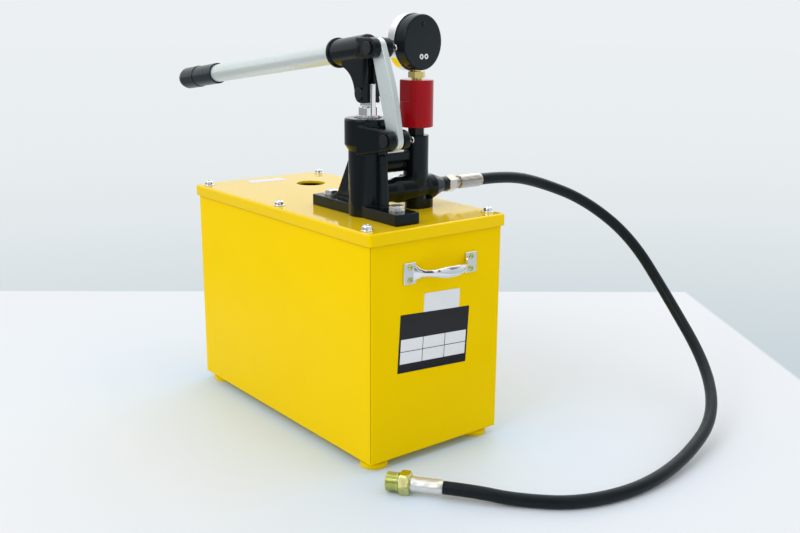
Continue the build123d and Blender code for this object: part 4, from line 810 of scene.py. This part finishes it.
def along_arc(half_span, start, reach, share):
    """Point (out, along) on an arc that starts on the wall plate and stands out by reach at its middle."""
    rise = reach - start
    radius = (half_span ** 2 + rise ** 2) / (2.0 * rise)
    turn = math.asin(half_span / radius) * share
    return Vector((start + rise - radius + radius * math.cos(turn), radius * math.sin(turn)))


def waist_at(along):
    """Half the bow's height at a distance from its middle, eased between the rows of BOW_WAIST."""
    for (near, low), (far, high) in zip(BOW_WAIST, BOW_WAIST[1:]):
        if along <= far:
            share = (along - near) / (far - near)
            return low + (high - low) * (share * 0.5 + share * share * (3.0 - 2.0 * share) * 0.5)
    return BOW_WAIST[-1][1]


def fuller(value):
    """A sine or cosine pushed outwards, so that the section is fuller than an ellipse."""
    return math.copysign(abs(value) ** BOW_FULLNESS, value)


def bow_rows(build, place):
    rows = []
    for index in range(BOW_STEPS + 1):
        share = index / BOW_STEPS * 2.0 - 1.0
        outer, inner = along_arc(*BOW_OUTER, share), along_arc(*BOW_INNER, share)
        core, half = (outer + inner) / 2.0, (outer - inner) / 2.0
        height = waist_at(abs(core.y))
        row = []
        for spot in range(BOW_SIDES):
            out, up = polar(FULL_TURN * spot / BOW_SIDES, 1.0)
            point = core + half * fuller(out)
            row.append(build.add(place @ Vector((point.x, point.y, height * fuller(up)))))
        rows.append(row)
    return rows


def make_bow_handles(materials):
    for side, name in ((1, "front"), (-1, "back")):
        wall = TANK_X + side * (TANK_LENGTH / 2 + 0.05)
        build = Build()
        rows = bow_rows(build, frame_at((wall, HANDLE_MIDDLE.y, HANDLE_MIDDLE.z), UP, (side, 0, 0)))
        for low, high in zip(rows, rows[1:]):
            build.join(high, low)
        build.faces.append(tuple(rows[0]))
        build.faces.append(tuple(reversed(rows[-1])))
        outline = rounded_outline((-BOW_WIDTH / 2, -BOW_HEIGHT / 2), (BOW_WIDTH / 2, BOW_HEIGHT / 2), 1.2)
        for end in (-1, 1):
            spot = (wall, HANDLE_MIDDLE.y + end * BOW_SPAN, HANDLE_MIDDLE.z)
            build.slab(outline, 0.0, BOW_SHEET, frame_at(spot, (side, 0, 0), ACROSS), 0.6)
        title = "bow_handle_" + name
        place_piece(title, build.mesh(title, sharp=40.0), "base", materials["cast_chrome"],
                    ("carry_handle_" + name,))


# Labels, all of them bare
CELL_LEFT, CELL_RIGHT, CELL_LOW, CELL_HIGH, CELL_GAP = -45.6, 45.6, -22.3, 5.2, 0.35
CELL_COLUMNS, CELL_ROWS = 3, 2


def centred(width, height, radius):
    return rounded_outline((-width / 2, -height / 2), (width / 2, height / 2), radius)


def place_flat(name, outline, place, material, bottom, top, inset):
    place_piece(name, Build().slab(outline, bottom, top, place, inset).mesh(name), "base", material)


def make_labels(materials):
    face = frame_at((TANK_END, 0, LID_TOP), ALONG, ACROSS)
    tilt = face @ moved(5.1, -86.1, turn=math.radians(-2.6))
    place_flat("small_label", centred(49.8, 25.4, 2.0), tilt, materials["white_label"],
               bottom=0.02, top=0.14, inset=0.05)
    plate = face @ moved(-5.2, -125.3, turn=math.radians(-3.6))
    place_flat("rating_plate", centred(95.2, 63.4, 0.8), plate, materials["black_label"],
               bottom=0.05, top=0.24, inset=0.05)

    cells = Build()
    wide, tall = (CELL_RIGHT - CELL_LEFT) / CELL_COLUMNS, (CELL_HIGH - CELL_LOW) / CELL_ROWS
    for column in range(CELL_COLUMNS):
        for row in range(CELL_ROWS):
            x, y = CELL_LEFT + wide * column, CELL_LOW + tall * row
            low, high = (x + CELL_GAP, y + CELL_GAP), (x + wide - CELL_GAP, y + tall - CELL_GAP)
            cells.slab(rounded_outline(low, high, 0.3, 2), 0.2, 0.29, plate, inset=0.02)
    place_piece("rating_cells", cells.mesh("rating_cells"), "base", materials["white_label"])

    top = frame_at((TANK_X, 0, LID_TOP), UP, ALONG) @ moved(-158.0, -5.0, turn=math.radians(-6.0))
    place_flat("lid_sticker", centred(20.0, 50.0, 2.0), top, materials["white_label"],
               bottom=0.02, top=0.12, inset=0.04)


# Gauge
GAUGE = (Matrix.Translation(GAUGE_MIDDLE * MM) @ Matrix.Rotation(GAUGE_TURN, 4, "Z")
         @ Matrix.Rotation(QUARTER, 4, "X") @ Matrix.Rotation(-QUARTER, 4, "Y") @ Matrix.Scale(MM, 4))
DIAL_FRONT, DIAL_RIM, DIAL_SWEEP = 7.3, 23.4, 270.0
DIAL_STEPS, DIAL_NUMBERS, PRINT_HEIGHT = 50, 6, 0.04
# Where a mark starts and half its width, for every tenth, fifth and single step
LONG_MARK, MIDDLE_MARK, SHORT_MARK = (19.6, 0.32), (20.8, 0.2), (21.8, 0.1)


def words(text, size):
    curve = bpy.data.curves.new("words", "FONT")
    curve.body = text
    curve.size = size
    curve.align_x, curve.align_y = "CENTER", "CENTER"
    curve.extrude = 0.02
    curve.resolution_u = 3
    holder = bpy.data.objects.new("words", curve)
    mesh = bpy.data.meshes.new_from_object(holder)
    bpy.data.objects.remove(holder)
    return mesh


def make_dial_print(materials):
    build = Build()
    level = GAUGE @ moved(0, 0, DIAL_FRONT + 0.03)
    for index in range(DIAL_STEPS + 1):
        spoke = level @ moved(0, 0, turn=math.radians(DIAL_SWEEP / 2 - DIAL_SWEEP * index / DIAL_STEPS))
        inner, half = LONG_MARK if index % 10 == 0 else MIDDLE_MARK if index % 5 == 0 else SHORT_MARK
        mark = [(-half, inner), (half, inner), (half, DIAL_RIM), (-half, DIAL_RIM)]
        build.slab(mark, 0.0, PRINT_HEIGHT, spoke)
    turns = [math.radians(90 + DIAL_SWEEP / 2 - DIAL_SWEEP * index / 90) for index in range(91)]
    inner_edge = [polar(turn, DIAL_RIM) for turn in turns]
    outer_edge = [polar(turn, DIAL_RIM + 0.35) for turn in reversed(turns)]
    build.slab(inner_edge + outer_edge, 0.0, PRINT_HEIGHT, level)
    for index in range(DIAL_NUMBERS):
        turn = math.radians(90 + DIAL_SWEEP / 2 - DIAL_SWEEP * index / (DIAL_NUMBERS - 1))
        build.take(words(str(index * 5), 4.4), level @ moved(*polar(turn, 16.4, 0.02)))
    build.take(words("MPa", 3.4), level @ moved(0, -9.5, 0.02))
    place_piece("dial_print", build.mesh("dial_print"), "base", materials["ink"])


def make_case_screws(materials):
    """Two hollow screw heads in the back of the gauge, each a bright rim round a dark socket."""
    build = Build()
    rim = [(1.25, 0.02), (2.75, 0.02), (3.0, 0.3), (2.95, 0.9), (2.6, 1.3), (2.0, 1.4), (1.45, 1.15),
           (1.25, 0.6)]
    for side in (-1, 1):
        place = GAUGE @ moved(side * 3.75, -15.0, -9.5) @ Matrix.Rotation(math.pi, 4, "X")
        build.lathe(rim, place, 48, hollow=True)
    place_piece("rimmed_screws", build.mesh("rimmed_screws", sharp=50.0), "base",
                materials["bright_zinc"], ("gauge_case_screws",))


# Stage: the table's four edges, each as its outward heading and its distance from the origin in metres
TABLE_EDGES = (((-0.7969, 0.6041, 0.0), 0.460), ((0.5542, 0.8325, 0.0), 0.6423),
               ((0.7969, -0.6041, 0.0), 1.6), ((-0.5542, -0.8325, 0.0), 1.1))
TABLE_EDGE_BLUR = 0.003
# The room past the table pales with distance from this end of it
ROOM_END = (CAMERA_PLACE + LEVEL_RIGHT * 0.2).xy
BACKDROP_NEAR = 1.18
BACKDROP = ((0.0, srgb(236, 240, 242)), (0.34, srgb(232, 237, 239)), (0.5, srgb(226, 232, 235)),
            (0.64, srgb(217, 225, 228)), (0.71, srgb(212, 221, 226)), (0.85, srgb(203, 215, 220)),
            (1.0, srgb(199, 211, 216)))
# Painted shadow round the tank's foot: near the tank the table is a little darker and bluer, which also
# takes away the yellow cast bounced from the paint
NEAR_TANK_PAINTED_SHADOW, PAINTED_SHADOW_FALL = rgba(0.69, 0.83, 1.0), -7.0
# Past the table's left end glossy parts mirror a dim room
DIM_ROOM, DIM_START, DIM_FULL = rgba(0.33, 0.34, 0.35), 0.35, 0.7


def tank_gap(shader):
    """Level distance from the tank's foot."""
    gaps = []
    for axis, place, half in ((ALONG, TANK_X, TANK_LENGTH / 2), (ACROSS, 0.0, TANK_WIDTH / 2)):
        gap = shader.math("SUBTRACT", shader.off_middle(axis, place * MM), half * MM)
        gaps.append(shader.math("MAXIMUM", gap, 0.0))
    return shader.length(*gaps)


def make_stage():
    """A pale table with a painted shadow round the tank's foot and, past its edges, the room's tone, both
    on one level sheet.
    """
    half = 12.0
    mesh = bpy.data.meshes.new("floor")
    corners = [(-half, -half, 0), (half, -half, 0), (half, half, 0), (-half, half, 0)]
    mesh.from_pydata(corners, [], [(0, 1, 2, 3)])
    floor = bpy.data.objects.new("floor", mesh)
    scene.collection.objects.link(floor)

    look = Shader("floor")
    open_tone = look.mix(look.noise(2.2), srgb(234, 237, 240), srgb(236, 239, 242))
    # Painted shadow and painted cool cast, fading with distance from the tank's foot
    painted_shadow_share = look.math("EXPONENT", look.math("MULTIPLY", tank_gap(look), PAINTED_SHADOW_FALL))
    shadowed_table_tone = look.mix(painted_shadow_share, open_tone, NEAR_TANK_PAINTED_SHADOW)
    look.set(Base_Color=shadowed_table_tone, Roughness=0.55, Specular_IOR_Level=0.2)

    past = [look.map(look.dot(look.coords, heading), reach - TABLE_EDGE_BLUR, reach + TABLE_EDGE_BLUR)
            for heading, reach in TABLE_EDGES]
    step = [look.math("SUBTRACT", look.dot(look.coords, axis), place)
            for axis, place in zip(AXES, ROOM_END)]
    away = look.math("MAXIMUM", look.length(*step), BACKDROP_NEAR)
    tone = look.ramp(look.math("DIVIDE", BACKDROP_NEAR, away), BACKDROP)
    path = look.add("ShaderNodeLightPath").outputs
    seen = look.most(path["Is Camera Ray"], path["Is Glossy Ray"], path["Is Transmission Ray"])
    room = look.glow("ShaderNodeEmission", tone)
    table = look.mix_shader(look.math("MULTIPLY", seen, look.most(*past)), look.bsdf.outputs[0], room)
    leftward = look.map(look.dot(look.coords, -LEVEL_RIGHT), DIM_START, DIM_FULL)
    dim = look.glow("ShaderNodeEmission", DIM_ROOM)
    look.show(look.mix_shader(look.math("MULTIPLY", path["Is Glossy Ray"], leftward), table, dim))
    mesh.materials.append(look.material)


# Tones that glossy parts mirror, by heading from 0 to 1 anticlockwise, starting on the camera's side
ROOM_TURN = (QUARTER - AZIMUTH) / FULL_TURN
ROOM = ((0.0, 0.06), (0.035, 0.06), (0.045, 0.85), (0.065, 0.85), (0.072, 0.08), (0.086, 0.08),
        (0.096, 0.75), (0.17, 0.8), (0.19, 0.25), (0.24, 0.35), (0.30, 0.9), (0.42, 1.02), (0.58, 1.02),
        (0.70, 0.9), (0.76, 0.4), (0.81, 0.3), (0.83, 0.8), (0.90, 0.75), (0.91, 0.1), (0.925, 0.1),
        (0.935, 0.8), (0.96, 0.8), (0.97, 0.06))
# The mirrored room grows brighter upwards, from one strength to the other between two heights of a ray
CEILING_HEIGHTS, CEILING_STRENGTHS = (0.35, 0.8), (1.0, 1.5)
EVEN_LIGHT, EVEN_STRENGTH = rgba(0.97, 0.98, 1.0), 0.82


def make_world():
    """Wall tone for the camera, a room of light and dark parts to mirror, even light for the rest."""
    world = bpy.data.worlds.new("world")
    scene.world = world
    sky = Nodes(world)
    parts = sky.add("ShaderNodeSeparateXYZ")
    sky.link(sky.add("ShaderNodeTexCoord").outputs["Generated"], parts.inputs[0])
    x, y, z = parts.outputs
    turn = sky.math("ADD", sky.math("DIVIDE", sky.math("ARCTAN2", y, x), FULL_TURN), ROOM_TURN)
    tones = [(position, rgba(tone * 0.97, tone * 0.99, tone)) for position, tone in ROOM]
    lift = sky.map(z, *CEILING_HEIGHTS, *CEILING_STRENGTHS)
    mirrored = sky.glow("ShaderNodeBackground", sky.ramp(sky.math("FRACT", turn), tones), lift)
    even = sky.glow("ShaderNodeBackground", EVEN_LIGHT, EVEN_STRENGTH)
    wall = sky.glow("ShaderNodeBackground", BACKDROP[0][1])
    path = sky.add("ShaderNodeLightPath").outputs
    lit = sky.mix_shader(path["Is Glossy Ray"], even, mirrored)
    shown = sky.most(path["Is Camera Ray"], path["Is Transmission Ray"])
    out = sky.add("ShaderNodeOutputWorld")
    sky.link(sky.mix_shader(shown, lit, wall), out.inputs["Surface"])


def area_light(name, place, target, size, power):
    data = bpy.data.lights.new(name, "AREA")
    data.shape = "RECTANGLE"
    data.size, data.size_y = size
    data.energy = power
    light = bpy.data.objects.new(name, data)
    light.location = place
    light.rotation_mode = "QUATERNION"
    light.rotation_quaternion = (Vector(target) - Vector(place)).to_track_quat("-Z", "Y")
    scene.collection.objects.link(light)


def make_lights():
    area_light("key", place=(0.3, -2.2, 1.9), target=(0.0, 0.0, 0.2), size=(1.6, 1.3), power=18.0)
    area_light("top", place=(0.1, 0.5, 2.7), target=(0.1, 0.0, 0.2), size=(2.6, 2.0), power=7.0)
    area_light("rear", place=(-1.2, 2.2, 1.6), target=(0.0, 0.0, 0.2), size=(2.0, 1.2), power=9.0)


# The scene, with the camera and the hose first
make_camera()
library = make_materials()
dress(library)
for make in (make_hose, make_lid_screws, make_bow_handles, make_handle_screws, make_base_bolts,
             make_split_pins, make_labels, make_dial_print, make_case_screws):
    make(library)
make_stage()
make_world()
make_lights()

scene.view_settings.view_transform = "Standard"
